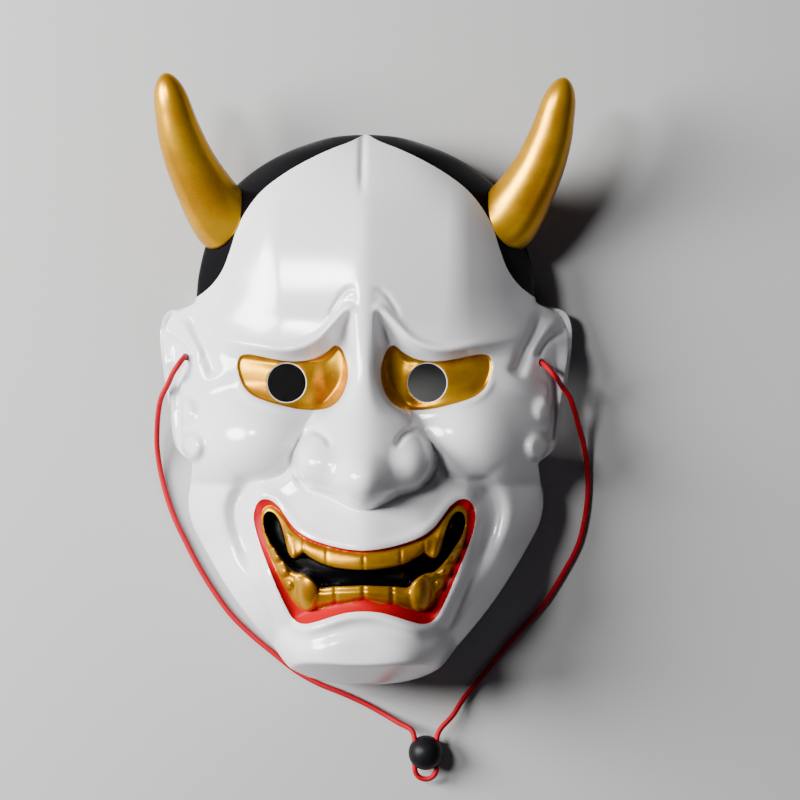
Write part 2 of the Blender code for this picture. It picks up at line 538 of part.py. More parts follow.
def make_shell(outer, inner, collection, cutters):
    """The moulding, and a slightly fatter solid copy of its outside that the horns are cut with."""
    ring = spaced(outline_line, RING_STEP, True)
    foot_ring, top_ring = ring, offset_ring(ring, DRAFT)
    inner_foot, inner_top = offset_ring(ring, WALL), offset_ring(ring, WALL + DRAFT)
    loops = [circle(x, y, EYE_HOLE_RADIUS, 28) for x, y in EYE_HOLES]
    loops += [circle(x, y, CORD_HOLE_RADIUS, 10) for x, y in CORD_HOLES]

    lines = []
    for distance in (0.1, 1.1):
        rim = offset_ring(spaced(eye_line, LINE_STEP, True), distance)
        lines += clear_runs(rim, True) + clear_runs(mirrored(rim)[::-1], True)
    lines += [(offset_ring(spaced(line, LINE_STEP, True), 0.1), True) for line in (lip_line, gum_line)]
    lines += [(offset_ring(spaced(throat_line, 3.4, True), d), True) for d in (-0.35, 0.9)]
    u = np.linspace(6.8, 60, 40)
    brow_edge = spaced(np.column_stack([u, brow(u)]), LINE_STEP)
    for line in (brow_edge, spaced(nose_crease[:-4], LINE_STEP), spaced(ear_crease, LINE_STEP)):
        lines += clear_runs(line, False) + clear_runs(mirrored(line), False)
    middle = [np.column_stack([np.zeros(2), span]) for span in ((111.5, -54.2), (-55.8, -71.6))]
    lines += [(spaced(line, 5.2), False) for line in middle]

    marks = [line for line, _ in lines] + [top_ring] + loops
    gaps = outer.spacing(FACET_ERROR[0], 3.5, 12.0)
    points = scatter(outer, gaps, top_ring, HOLES, marks)
    flat, tris, ring_at, holes_at = triangulated(top_ring, loops, lines, points)
    gaps = inner.spacing(FACET_ERROR[1], 5.0, 14.0)
    points = scatter(inner, gaps, inner_top, HOLES, [inner_top] + loops)
    flat_in, tris_in, ring_in, holes_in = triangulated(inner_top, loops, [], points)

    z_out = outer.at(flat[:, 0], flat[:, 1])
    z_in = inner.at(flat_in[:, 0], flat_in[:, 1])
    foot_z = rim_height(foot_ring[:, 0], foot_ring[:, 1])
    verts = np.vstack([np.column_stack([flat, z_out]), np.column_stack([flat_in, z_in]),
                       np.column_stack([foot_ring, foot_z]), np.column_stack([inner_foot, foot_z])])
    first_in = len(flat)
    first_foot = first_in + len(flat_in)
    first_inner_foot = first_foot + len(ring)
    faces = [tuple(int(v) for v in t) for t in tris]
    faces += [tuple(int(v) + first_in for v in t[::-1]) for t in tris_in]

    def bridge(a, b):
        for i in range(len(a)):
            j = (i + 1) % len(a)
            faces.append((a[i], a[j], b[j]))
            faces.append((a[i], b[j], b[i]))

    foot = [first_foot + i for i in range(len(ring))]
    inside_foot = [first_inner_foot + i for i in range(len(ring))]
    bridge(ring_at, foot)
    bridge(foot, inside_foot)
    bridge(inside_foot, [first_in + i for i in ring_in])
    for a, b in zip(holes_at, holes_in):
        bridge(a, [first_in + i for i in b])
    shell = mesh_object("mask_shell", verts, faces, collection)
    smooth_shaded(shell, 38)

    # the outside alone, a little fatter, closed underneath
    solid_verts = np.vstack([verts, np.column_stack([offset_ring(ring, -GAP), np.full(len(ring), -12.0)])])
    faces = [tuple(int(v) for v in t) for t in tris]
    under = [len(verts) + i for i in range(len(ring))]
    bridge(ring_at, foot)
    bridge(foot, under)
    for loop in holes_at:
        faces.append(tuple(loop))
    faces.append(tuple(under))
    core = mesh_object("horn_seat_cutter", solid_verts, faces, cutters)
    bm = bmesh.new()
    bm.from_mesh(core.data)
    bm.normal_update()
    for v in bm.verts:
        if v.co.z > -0.011:
            v.co += v.normal * GAP * 1.1 * MM
    bm.to_mesh(core.data)
    bm.free()
    core.hide_render = True
    core.display_type = "WIRE"
    return shell, core


def tube(name, points, radii, resolution, collection):
    """A round tube with filled ends along a line of points."""
    data = bpy.data.curves.new(name, "CURVE")
    data.dimensions = "3D"
    data.bevel_depth = MM
    data.bevel_resolution = resolution
    data.use_fill_caps = True
    data.twist_mode = "MINIMUM"
    spline = data.splines.new("POLY")
    spline.points.add(len(points) - 1)
    for place, radius, point in zip(points, radii, spline.points):
        point.co = (*(float(c) * MM for c in place), 1)
        point.radius = float(radius)
    obj = bpy.data.objects.new(name, data)
    collection.objects.link(obj)
    return obj


def as_mesh(obj, collection):
    """The tube's evaluated mesh in a new object, with its caps welded on."""
    bpy.context.view_layer.update()
    mesh = bpy.data.meshes.new_from_object(obj.evaluated_get(bpy.context.evaluated_depsgraph_get()))
    bm = bmesh.new()
    bm.from_mesh(mesh)
    bmesh.ops.remove_doubles(bm, verts=bm.verts, dist=1e-6)
    bmesh.ops.triangulate(bm, faces=[f for f in bm.faces if len(f.verts) > 4])
    bmesh.ops.recalc_face_normals(bm, faces=bm.faces)
    bm.to_mesh(mesh)
    bm.free()
    name = obj.name
    bpy.data.objects.remove(obj, do_unlink=True)
    made = bpy.data.objects.new(name, mesh)
    made.name = name
    mesh.name = name
    collection.objects.link(made)
    return made


def cut(obj, cutter):
    mod = obj.modifiers.new("cut", "BOOLEAN")
    mod.operation = "DIFFERENCE"
    mod.object = cutter
    mod.solver = "EXACT"
    return mod


def make_horn(name, side, core, collection):
    """A curved, tapering, round-tipped horn whose foot follows the moulding."""
    line = curve_through([(x * side, y, z, r) for x, y, z, r in HORN], 2)
    last, before = line[-1], line[-2]
    way = (last - before)[:3] / np.linalg.norm((last - before)[:3])
    tip = []
    for k in range(1, 7):
        s = math.sin(k / 6 * math.pi / 2)
        tip.append((*(last[:3] + way * HORN_TIP * s), max(last[3] * (1 - s ** 2.3) ** 0.55, 0.5)))
    line = np.vstack([line, tip])
    horn = as_mesh(tube(name, line[:, :3], line[:, 3], 4, collection), collection)
    cut(horn, core)
    smooth_shaded(horn, 50)
    return horn


def cord_route(tops, unders):
    """The cord from the knot behind one ear, through the bead and back to the other ear."""
    bx, by, bz = BEAD

    def out_of(hole, top, under, toward):
        """Straight up out of a hole and over in a round bend towards the first point of the run."""
        x, y = hole
        dx, dy = toward[0] - x, toward[1] - y
        far = math.hypot(dx, dy)
        rise = [(x, y, under - GAP - 2 * KNOT_THICK - KNOT_TAIL), (x, y, top - 2), (x, y, top + 0.4)]
        for degrees in (25, 50, 75, 100, 125):
            a = math.radians(degrees)
            across = EXIT_BEND * (1 - math.cos(a)) / far
            rise.append((x + dx * across, y + dy * across, top + 0.8 + EXIT_BEND * math.sin(a)))
        return rise

    bend = [(bx - BEAD_BORES * math.cos(a), by - 7.4 - BEAD_BORES * math.sin(a), bz - 0.8 * math.sin(a))
            for a in np.linspace(0, math.pi, 9)]
    enter = [(BEAD_BORES + 1.5, 10.4, -0.8), (BEAD_BORES + 0.15, 6.8, 0), (BEAD_BORES, 0, 0)]
    route = out_of(CORD_HOLES[0], tops[0], unders[0], LEFT_RUN[0]) + LEFT_RUN
    route += [(bx - x, by + y, bz + z) for x, y, z in enter] + bend
    route += [(bx + x, by + y, bz + z) for x, y, z in enter[::-1]]
    route += RIGHT_RUN + out_of(CORD_HOLES[1], tops[1], unders[1], RIGHT_RUN[-1])[::-1]
    fine = spaced(curve_through(route, 24), 0.5)
    first = np.gradient(fine, 0.5, axis=0)
    bends = np.linalg.norm(np.gradient(first, 0.5, axis=0), axis=1)
    pad = np.pad(bends, 6, mode="edge")
    bends = np.array([pad[i:i + 13].max() for i in range(len(bends))])
    step = np.clip(0.5 / np.maximum(bends, 1e-4), 2.6, 10.5)
    count = np.concatenate([[0], np.cumsum(0.5 / step[:-1])])
    total = int(round(count[-1]))
    at = np.interp(np.linspace(0, count[-1], total + 1), count, np.arange(len(fine)))
    points = np.column_stack([np.interp(at, np.arange(len(fine)), fine[:, k]) for k in range(3)])
    length = np.linalg.norm(np.diff(fine, axis=0), axis=1).sum()
    return points, length


def make_bead(collection, cutters):
    bpy.ops.mesh.primitive_uv_sphere_add(segments=18, ring_count=10, radius=BEAD_RADIUS * MM,
                                         location=[c * MM for c in BEAD], rotation=(math.pi / 2, 0, 0))
    bead = bpy.context.active_object
    bead.name = "cord_bead"
    move_to(bead, collection)
    for side in (-1, 1):
        place = (BEAD[0] + side * BEAD_BORES, BEAD[1], BEAD[2])
        bpy.ops.mesh.primitive_cylinder_add(vertices=12, radius=(CORD_DIAMETER / 2 + GAP) * MM, depth=24 * MM,
                                            location=[c * MM for c in place], rotation=(math.pi / 2, 0, 0))
        bore = bpy.context.active_object
        bore.name = "bead_bore_cutter_left" if side < 0 else "bead_bore_cutter_right"
        bore.hide_render = True
        bore.display_type = "WIRE"
        move_to(bore, cutters)
        cut(bead, bore)
    smooth_shaded(bead, 40)
    return bead


def make_knot(name, hole, under, collection):
    """The lump that the cord is tied into behind an ear, as a ring round the cord."""
    place = (hole[0], hole[1], under - GAP - KNOT_THICK)
    bpy.ops.mesh.primitive_torus_add(major_segments=12, minor_segments=6, major_radius=KNOT_RING * MM,
                                     minor_radius=KNOT_THICK * MM, location=[c * MM for c in place])
    knot = bpy.context.active_object
    knot.name = name
    move_to(knot, collection)
    smooth_shaded(knot, 60)
    return knot


def move_to(obj, collection):
    for owner in list(obj.users_collection):
        owner.objects.unlink(obj)
    collection.objects.link(obj)


def main():
    clean_scene()
    parts = bpy.data.collections.new("hannya_mask")
    cutters = bpy.data.collections.new("cutters")
    for collection in (parts, cutters):
        bpy.context.scene.collection.children.link(collection)
    outer = Field()
    inner = outer.rolled_under(WALL)
    shell, core = make_shell(outer, inner, parts, cutters)
    horns = [make_horn("horn_left", -1, core, parts), make_horn("horn_right", 1, core, parts)]

    round_hole = [np.vstack([circle(*hole, radius, 12) for radius in (0.1, 2.5, KNOT_RING + KNOT_THICK + 0.4)])
                  for hole in CORD_HOLES]
    tops = [float(outer.at(*near.T)[0]) for near in round_hole]
    unders = [float(inner.at(*near.T).min()) for near in round_hole]
    points, length = cord_route(tops, unders)
    cord = tube("cord", points, np.full(len(points), CORD_DIAMETER / 2), 2, parts)
    print("cord: points", len(points), "length in mm", round(length, 1))
    bead = make_bead(parts, cutters)
    knots = [make_knot("knot_left", CORD_HOLES[0], unders[0], parts),
             make_knot("knot_right", CORD_HOLES[1], unders[1], parts)]
    material(shell, (0.86, 0.86, 0.87), 0.18)
    for horn in horns:
        material(horn, (0.76, 0.43, 0.09), 0.28, 0.8)
    material(cord, (0.70, 0.01, 0.03), 0.45)
    material(bead, (0.02, 0.02, 0.025), 0.3)
    for knot in knots:
        material(knot, (0.70, 0.01, 0.03), 0.45)


main()
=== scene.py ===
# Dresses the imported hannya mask: carved and painted face, gold horns, elastic cord with its ball.
# Face sizes are in millimetres: +y is the forehead, +z comes out of the face.
import math

import bpy
import bmesh
import numpy as np
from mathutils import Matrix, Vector


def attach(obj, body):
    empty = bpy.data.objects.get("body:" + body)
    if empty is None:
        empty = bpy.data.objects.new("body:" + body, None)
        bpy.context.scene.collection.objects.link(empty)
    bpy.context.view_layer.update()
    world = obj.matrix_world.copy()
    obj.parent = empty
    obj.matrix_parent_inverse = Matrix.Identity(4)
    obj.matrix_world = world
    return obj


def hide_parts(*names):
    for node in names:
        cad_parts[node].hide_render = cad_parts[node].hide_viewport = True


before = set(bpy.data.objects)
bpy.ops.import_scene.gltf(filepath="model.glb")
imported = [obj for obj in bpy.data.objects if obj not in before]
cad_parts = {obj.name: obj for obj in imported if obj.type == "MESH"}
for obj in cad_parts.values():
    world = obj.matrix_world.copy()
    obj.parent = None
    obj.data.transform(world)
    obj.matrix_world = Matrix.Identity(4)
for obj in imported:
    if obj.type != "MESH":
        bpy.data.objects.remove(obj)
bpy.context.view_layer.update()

mm = 0.001


# camera and cord come first

camera = {"x": 15.68, "y": -7.65, "height": 950, "lens": 91.3, "sensor": 36}


def makeCamera(c):
    bpy.ops.object.select_all(action="DESELECT")
    place = (c["x"] * mm, c["y"] * mm, c["height"] * mm)
    bpy.ops.object.camera_add(location=place, rotation=(0, 0, 0))  # looks straight down, y is up
    cam = bpy.context.object
    cam.name = "photoCamera"
    cam.data.lens = c["lens"]
    cam.data.sensor_width = c["sensor"]
    cam.data.clip_start = 0.01
    cam.data.clip_end = 20
    bpy.context.scene.camera = cam


def ease(a, b, t):
    s = np.clip((t - a) / (b - a), 0.0, 1.0)
    return s * s * (3 - 2 * s)


def curveThrough(points, steps=6, closed=False):
    # a smooth curve through the given points, in two or more dimensions
    p = [np.array(q, float) for q in points]
    n = len(p)
    out = []
    for i in range(n if closed else n - 1):
        p1, p2 = p[i], p[(i + 1) % n]
        p0 = p[i - 1] if (closed or i > 0) else 2 * p1 - p2
        p3 = p[(i + 2) % n] if (closed or i + 2 < n) else 2 * p2 - p1
        d1 = max(np.linalg.norm(p1 - p0), 1e-6) ** 0.5
        d2 = max(np.linalg.norm(p2 - p1), 1e-6) ** 0.5
        d3 = max(np.linalg.norm(p3 - p2), 1e-6) ** 0.5
        m1 = ((p1 - p0) / d1 - (p2 - p0) / (d1 + d2) + (p2 - p1) / d2) * d2
        m2 = ((p2 - p1) / d2 - (p3 - p1) / (d2 + d3) + (p3 - p2) / d3) * d2
        for k in range(steps):
            s = k / steps
            out.append((2 * s ** 3 - 3 * s ** 2 + 1) * p1 + (s ** 3 - 2 * s ** 2 + s) * m1
                       + (-2 * s ** 3 + 3 * s ** 2) * p2 + (s ** 3 - s ** 2) * m2)
    if not closed:
        out.append(p[-1])
    return np.array(out)


def spaced(line, step, closed=False):
    # the same line with its points an even distance apart
    if closed:
        line = np.vstack([line, line[:1]])
    run = np.concatenate([[0], np.cumsum(np.linalg.norm(np.diff(line, axis=0), axis=1))])
    count = max(3, int(round(run[-1] / step)))
    at = np.linspace(0, run[-1], count + 1)
    out = np.column_stack([np.interp(at, run, line[:, k]) for k in range(line.shape[1])])
    return out[:-1] if closed else out


def lineLength(line):
    return float(np.linalg.norm(np.diff(line, axis=0), axis=1).sum())


def meshPiece(name, points, faces, smooth=True):
    # a mesh in metres from points in millimetres
    mesh = bpy.data.meshes.new(name)
    mesh.from_pydata([tuple(float(c) * mm for c in p) for p in points], [], faces)
    mesh.update()
    piece = bpy.data.objects.new(name, mesh)
    bpy.context.scene.collection.objects.link(piece)
    if smooth:
        mesh.shade_smooth()
    return piece


def turnOutward(piece):
    bm = bmesh.new()
    bm.from_mesh(piece.data)
    bmesh.ops.recalc_face_normals(bm, faces=bm.faces)
    bm.to_mesh(piece.data)
    bm.free()


def tubePiece(name, line, radius, sides):
    # a round tube with its own uv map: u round it, v along it in millimetres
    step = np.gradient(line, axis=0)
    way = step / np.linalg.norm(step, axis=1)[:, None]
    across = np.cross(way[0], (0.3, 0.9, 0.1))
    frames = []
    for w in way:
        across = across - w * across.dot(w)
        across = across / np.linalg.norm(across)
        frames.append((across, np.cross(w, across)))
    turn = np.linspace(0, 2 * math.pi, sides + 1)[:-1]
    points, faces, rings = [], [], len(line)
    for place, (a, b) in zip(line, frames):
        points += [place + radius * (math.cos(t) * a + math.sin(t) * b) for t in turn]
    for i in range(rings - 1):
        for k in range(sides):
            j = (k + 1) % sides
            faces.append((i * sides + k, i * sides + j, (i + 1) * sides + j, (i + 1) * sides + k))
    faces.append(tuple(range(sides))[::-1])
    faces.append(tuple((rings - 1) * sides + k for k in range(sides)))
    piece = meshPiece(name, points, faces)
    run = np.concatenate([[0], np.cumsum(np.linalg.norm(np.diff(line, axis=0), axis=1))])
    uv = piece.data.uv_layers.new(name="along")
    for face in piece.data.polygons:
        for loop in face.loop_indices:
            vertex = piece.data.loops[loop].vertex_index
            i, k = divmod(vertex, sides)
            if len(face.vertices) == 4 and k == 0 and sides - 1 in [v % sides for v in face.vertices]:
                k = sides
            uv.data[loop].uv = (k / sides, run[i] / 10)
    return piece


cord = {
    "diameter": 2.5,
    "holeLeft": (-81.9, 11.9), "holeRight": (80.1, 9.2),
    "topLeft": 28.62, "topRight": 30.43,  # the moulding's outside at the two holes
    "footLeft": 14.88, "footRight": 16.77,  # where the ends stop below their knots
    "bend": 5.6,
    "leftRun": [(-90.2, -0.6, 24.8), (-93.6, -6.4, 20.6), (-95.5, -12.6, 15.6), (-96.8, -20.0, 10.2),
                (-97.4, -29, 5.6), (-96.4, -39.5, 2.6), (-93.6, -51.6, 1.6), (-89.5, -63.3, 1.5),
                (-84.4, -74, 1.5), (-79.2, -84.2, 1.5), (-72.2, -95.8, 1.5), (-63.4, -107.9, 1.5),
                (-53.8, -117.4, 1.5), (-43.4, -126.0, 1.5), (-33.0, -134.2, 1.5), (-22.4, -140.2, 1.5),
                (-12.0, -144.4, 1.5), (-1.4, -149.2, 1.6), (8.0, -154.2, 2.6), (15.0, -158.0, 5.0)],
    "rightRun": [(40.2, -154.6, 5.0), (45.0, -147.6, 2.6), (51.2, -140.2, 1.6), (60.1, -129.3, 1.5),
                 (69.0, -118.6, 1.5), (83, -103, 1.5), (91.4, -89.7, 1.5), (98.9, -75.5, 1.5),
                 (102.2, -62.4, 1.5), (103.6, -48.6, 1.6), (102.9, -37.5, 3.0), (100.9, -27.6, 6.6),
                 (98.4, -19.6, 11.4), (96.0, -12.4, 16.4), (93.4, -6.4, 21.0), (89.4, -1.2, 25.0)],
}
ball = {"x": 27.6, "y": -171.4, "z": 8.0, "radius": 8.0, "bore": 5.05, "clearance": 0.3}


def cordRoute(c, b):
    def outOf(hole, top, foot, toward):  # up out of a hole and over in a round bend
        x, y = hole
        dx, dy = toward[0] - x, toward[1] - y
        far = math.hypot(dx, dy)
        rise = [(x, y, foot), (x, y, top - 2), (x, y, top + 0.4)]
        for degrees in (25, 50, 75, 100, 125):
            a = math.radians(degrees)
            across = c["bend"] * (1 - math.cos(a)) / far
            rise.append((x + dx * across, y + dy * across, top + 0.8 + c["bend"] * math.sin(a)))
        return rise

    place = np.array([b["x"], b["y"], b["z"]])
    bore = b["bore"]
    loop = [(-bore * math.cos(a), -7.4 - bore * math.sin(a), -0.8 * math.sin(a))
            for a in np.linspace(0, math.pi, 9)]
    enter = [(bore + 1.5, 10.4, -0.8), (bore + 0.15, 6.8, 0), (bore, 0, 0)]
    inBall = [(-x, y, z) for x, y, z in enter] + loop + enter[::-1]
    left = outOf(c["holeLeft"], c["topLeft"], c["footLeft"], c["leftRun"][0])
    right = outOf(c["holeRight"], c["topRight"], c["footRight"], c["rightRun"][-1])
    route = left + c["leftRun"] + [tuple(place + p) for p in inBall] + c["rightRun"] + right[::-1]
    return spaced(curveThrough(route, 24), 1.5)


def makeBall(b):
    # a turned ball with two bores, their mouths slightly countersunk
    place = [b[k] * mm for k in ("x", "y", "z")]
    bpy.ops.object.select_all(action="DESELECT")
    bpy.ops.mesh.primitive_uv_sphere_add(segments=64, ring_count=40, radius=b["radius"] * mm,
                                         location=place, rotation=(math.pi / 2, 0, 0))
    piece = bpy.context.object
    piece.name = "cordBall"
    for side in (-1, 1):
        spot = (place[0] + side * b["bore"] * mm, place[1], place[2])
        radius = (cord["diameter"] / 2 + b["clearance"]) * mm
        bpy.ops.mesh.primitive_cylinder_add(vertices=32, radius=radius, depth=0.024, location=spot,
                                            rotation=(math.pi / 2, 0, 0))
        drill = bpy.context.object
        for end in (-1, 1):  # countersinks
            mouth = (spot[0], spot[1] + end * 6.4 * mm, spot[2])
            bpy.ops.mesh.primitive_cone_add(vertices=32, radius1=radius * 0.9, radius2=radius * 1.9,
                                            depth=0.0022, location=mouth,
                                            rotation=(-end * math.pi / 2, 0, 0))
            cutInto(piece, bpy.context.object)
        cutInto(piece, drill)
    putAtOrigin(piece)
    piece.data.shade_smooth()
    piece.data.set_sharp_from_angle(angle=math.radians(35))
    return piece


def cutInto(piece, drill):
    bpy.context.view_layer.objects.active = piece
    mod = piece.modifiers.new("cut", "BOOLEAN")
    mod.object = drill
    mod.solver = "EXACT"
    bpy.ops.object.modifier_apply(modifier=mod.name)
    bpy.data.objects.remove(drill, do_unlink=True)


def putAtOrigin(piece):
    bpy.ops.object.select_all(action="DESELECT")
    piece.select_set(True)
    bpy.context.view_layer.objects.active = piece
    bpy.ops.object.transform_apply(location=True, rotation=True, scale=True)


knot = {"radius": 2.35, "swell": 0.75, "rise": 0.85, "thread": 1.25,
        "left": (-81.9, 11.9, 18.28), "right": (80.1, 9.2, 20.17)}


def makeKnot(name, place, k):
    # the cord wound on itself into a small overhand knot
    t = np.linspace(0, 2 * math.pi, 97)
    reach = k["radius"] + k["swell"] * np.cos(3 * t)
    line = np.column_stack([place[0] + reach * np.cos(2 * t), place[1] + reach * np.sin(2 * t),
                            place[2] + k["rise"] * np.sin(3 * t)])
    return tubePiece(name, line, k["thread"] * 0.9, 14)


# the face: lines traced on the right half, then heights over the plane of the rim

head = {
    "wall": 1.8, "draft": 2.0, "earRim": 12.0,
    "eyeHoles": [(-34.6, 0.0), (27.8, 0.0)], "eyeHoleRadius": 8.6, "cordHoleRadius": 1.65,
    "top": [(0, 115), (18, 113.2), (37.5, 106.6), (52, 98.6), (62.5, 89.5), (70.5, 77), (75.6, 62),
            (78.6, 48), (79.4, 38)],
    "ear": [(79.4, 38), (87, 35.2), (92.4, 32.4), (94.9, 26), (95, 17), (93.8, 7), (92.2, -4),
            (90.4, -14), (89.4, -24), (87.4, -31), (83.6, -34.8), (80, -36.6)],
    "jaw": [(80, -36.6), (81.6, -44.5), (83, -52), (82.8, -58.5), (80.8, -66), (76.4, -74.4),
            (69, -85.6), (58.8, -100), (49.6, -111.8), (41, -122.4), (34, -129.4), (27, -134.2),
            (18, -137.2), (9, -138.4), (0, -138.7)],
    "hair": [(0, 113.5), (6, 109.2), (15, 105.2), (26, 99.8), (36.6, 93.6), (46.4, 86), (52.8, 78.2),
             (57.4, 69.9), (60.6, 60), (64.2, 51), (69, 44.8), (74, 41), (79.4, 38)],
}
eyes = {
    "line": [(56.9, 8), (55.6, 11.8), (52, 12.7), (46.6, 11.8), (40.8, 10.6), (35, 9.7), (29.3, 9.5),
             (24.5, 10.1), (20.4, 11.5), (16.4, 14), (12.9, 16.6), (10.4, 15.2), (8.4, 11), (7.2, 6),
             (7.4, 1), (9, -4.2), (11.6, -8.2), (15.4, -10.9), (20, -12), (25, -12.1), (31, -11.4),
             (37, -10), (43.7, -8.1), (49.6, -5.7), (53.6, -2.2), (56, 3)],
    "sunk": 1.5, "swell": 2.6,
}
mouth = {
    "lip": [(0, -72.3), (8.3, -71.6), (16.7, -69.8), (25, -66.9), (30.4, -63.3), (34.6, -58.4),
            (38, -54.2), (41.8, -51.6), (45.4, -51.6), (48, -54.2), (49.2, -58.4), (48.6, -64),
            (46, -72), (41.9, -81), (37.8, -90.6), (34.4, -98), (31.8, -102.8), (29.2, -104.9),
            (25.6, -105.2), (20.5, -103.8), (14.2, -101.6), (7.1, -99.6), (0, -99)],
    "gum": [(0, -73.5), (8.3, -72.8), (16.7, -71), (25.3, -68.1), (31, -64.2), (35.2, -59),
            (38.4, -55.8), (41.6, -54.2), (44.4, -55.4), (45.6, -58.6), (45.4, -63.5), (43.4, -72),
            (39.3, -81), (35.2, -89.3), (31.3, -95.7), (28.4, -99), (24.7, -100.2), (21, -99),
            (16.8, -97.6), (12.6, -96.5), (7.5, -95.7), (0, -94.2)],
    "throat": [(0, -81), (11.8, -80.1), (18.5, -78.3), (23.5, -75.8), (26, -74.2), (28, -75.6),
               (30.6, -76.6), (32.6, -75), (34, -71), (35.7, -65.2), (37.8, -60.2), (40.2, -57.5),
               (43, -57.3), (44.6, -60.4), (44, -65), (42, -69), (38.2, -74.5), (33.6, -80.2),
               (30.4, -82.7), (27, -83.2), (23.6, -84.7), (21, -87), (19.6, -89), (12.6, -88.5),
               (5, -88.1), (0, -87.9)],
    "upperGaps": [0, 16, 26.2], "lowerGaps": [0, 12.3],
    "fang": (24.6, -91.8, 4.7, 8.6),  # place and half sizes of a lower fang
    "upperFang": [(33.4, -66), (32.2, -71), (30.8, -75.4)],
    "backTeeth": [(41.4, -69.8), (38.4, -76.0), (35.4, -82.2), (32.6, -88.2)],
}
folds = {
    "cheekFold": [(44, -45), (50.5, -46.4), (55.2, -49.8), (57.8, -55.6), (57.4, -62.5), (54.9, -70),
                  (51, -79), (46.5, -88)],
    "cheekCrease": [(30, -27.5), (32.4, -32), (33.4, -36.6), (36, -40.6), (41, -43), (48, -43.8),
                    (54, -42.2), (59.5, -38), (64, -32)],
    "noseEdge": [(0, 70), (14, 60), (15.4, 20), (17, 2), (19.4, -10), (22.2, -17.4), (25.8, -22.2),
                 (28.8, -27.4), (30.3, -32.8), (30, -38), (27.8, -42.2), (23.6, -45.6), (18, -48.2),
                 (12.4, -50.4), (7.6, -53), (3.4, -55.4), (0, -56)],
    "noseCrease": [(22.8, -20), (26.6, -23), (29.6, -27.6), (31, -33), (30.7, -38.4), (28.2, -42.8),
                   (23.6, -46)],
    "nostril": [(26.4, -21.9), (23.6, -20.8), (20.6, -21.2), (17.4, -22.9), (15.2, -25.6), (14, -29)],
    "browWrinkle": [(3.2, 40.2), (6.4, 40.6), (9.4, 38.8), (12.6, 34.4), (16.4, 28.4)],
    "earValley": [(82.5, 35), (79, 29.6), (75.6, 21.4), (71.6, 13.3), (68.6, 6.2), (66.8, 2.4)],
    "earRidge": [(90, 31), (85.6, 28), (80, 21.4), (75.2, 14.6), (73.2, 10.4)],
    "earGroove": [(93.2, 24.6), (89.6, 23.2), (85.6, 21.4), (82, 18.6), (79.4, 14.6), (78, 10.4)],
    "earCrease": [(81.6, 10.8), (83.4, 6.2), (85.1, 1.2), (86, -7.8), (85.4, -15.9), (84.8, -24.1),
                  (83.2, -30.6), (79, -34.6)],
}


def profile(*pairs):
    # a natural spline through (place, value) pairs
    pairs = sorted(pairs)
    t = np.array([p[0] for p in pairs], float)
    f = np.array([p[1] for p in pairs], float)
    n, h = len(t), np.diff(t)
    a, r = np.eye(n), np.zeros(n)
    for i in range(1, n - 1):
        a[i, i - 1], a[i, i], a[i, i + 1] = h[i - 1], 2 * (h[i - 1] + h[i]), h[i]
        r[i] = 6 * ((f[i + 1] - f[i]) / h[i] - (f[i] - f[i - 1]) / h[i - 1])
    m = np.linalg.solve(a, r)

    def value(q):
        q = np.clip(q, t[0], t[-1])
        i = np.clip(np.searchsorted(t, q) - 1, 0, n - 2)
        d, e = q - t[i], t[i + 1] - q
        cubic = (m[i] * e ** 3 + m[i + 1] * d ** 3) / (6 * h[i])
        return cubic + (f[i] / h[i] - m[i] * h[i] / 6) * e + (f[i + 1] / h[i] - m[i + 1] * h[i] / 6) * d

    return value


def bothSides(half, steps=5):
    return curveThrough(list(half) + [(-x, y) for x, y in half[-2:0:-1]], steps, True)


def nearest(x, y, line, closed=False, reach=30.0):
    # distance to a line and place along it (0 to 1), for points within reach
    dist, along = np.full(x.shape, 60.0), np.zeros(x.shape)
    low, high = line.min(0) - reach, line.max(0) + reach
    m = (x > low[0]) & (x < high[0]) & (y > low[1]) & (y < high[1])
    if not m.any():
        return dist, along
    px, py = x[m], y[m]
    a, b = line, np.roll(line, -1, 0)
    if not closed:
        a, b = a[:-1], b[:-1]
    run = np.concatenate([[0], np.cumsum(np.linalg.norm(b - a, axis=1))])
    best, al = np.full(px.shape, 3600.0), np.zeros(px.shape)
    for i in range(len(a)):
        dx, dy = b[i] - a[i]
        qx, qy = px - a[i, 0], py - a[i, 1]
        t = np.clip((qx * dx + qy * dy) / max(dx * dx + dy * dy, 1e-12), 0, 1)
        d2 = (qx - t * dx) ** 2 + (qy - t * dy) ** 2
        w = d2 < best
        best[w] = d2[w]
        al[w] = (run[i] + t[w] * (run[i + 1] - run[i])) / run[-1]
    dist[m], along[m] = np.sqrt(best), al
    return dist, along


def isInside(x, y, line):
    c = np.zeros(x.shape, bool)
    for (x1, y1), (x2, y2) in zip(line, np.roll(line, -1, 0)):
        if y1 != y2:
            c ^= ((y1 > y) != (y2 > y)) & (x < (x2 - x1) * (y - y1) / (y2 - y1) + x1)
    return c


def within(x, y, line, reach=25.0):
    # distance inside a closed line, negative outside it
    d, _ = nearest(x, y, line, True, reach)
    return np.where(isInside(x, y, line), d, -d)


def higher(a, b, k):
    # the higher of two forms, with a soft join k wide
    h = np.clip(0.5 + 0.5 * (a - b) / k, 0, 1)
    return b + (a - b) * h + k * h * (1 - h)


def lowerOf(a, b, k):
    return -higher(-a, -b, k)


def lobe(u, y, cx, cy, rx, ry, top, fall, turn=0.0):
    c, s = math.cos(math.radians(turn)), math.sin(math.radians(turn))
    a = ((u - cx) * c + (y - cy) * s) / rx
    b = (-(u - cx) * s + (y - cy) * c) / ry
    return top - fall * (a * a + b * b)


def groove(u, y, line, depth, width, fade=0.2, tail=None):
    d, s = nearest(u, y, line)
    return -depth * np.exp(-(d / width) ** 2) * ease(0, fade, s) * ease(0, tail or fade, 1 - s)


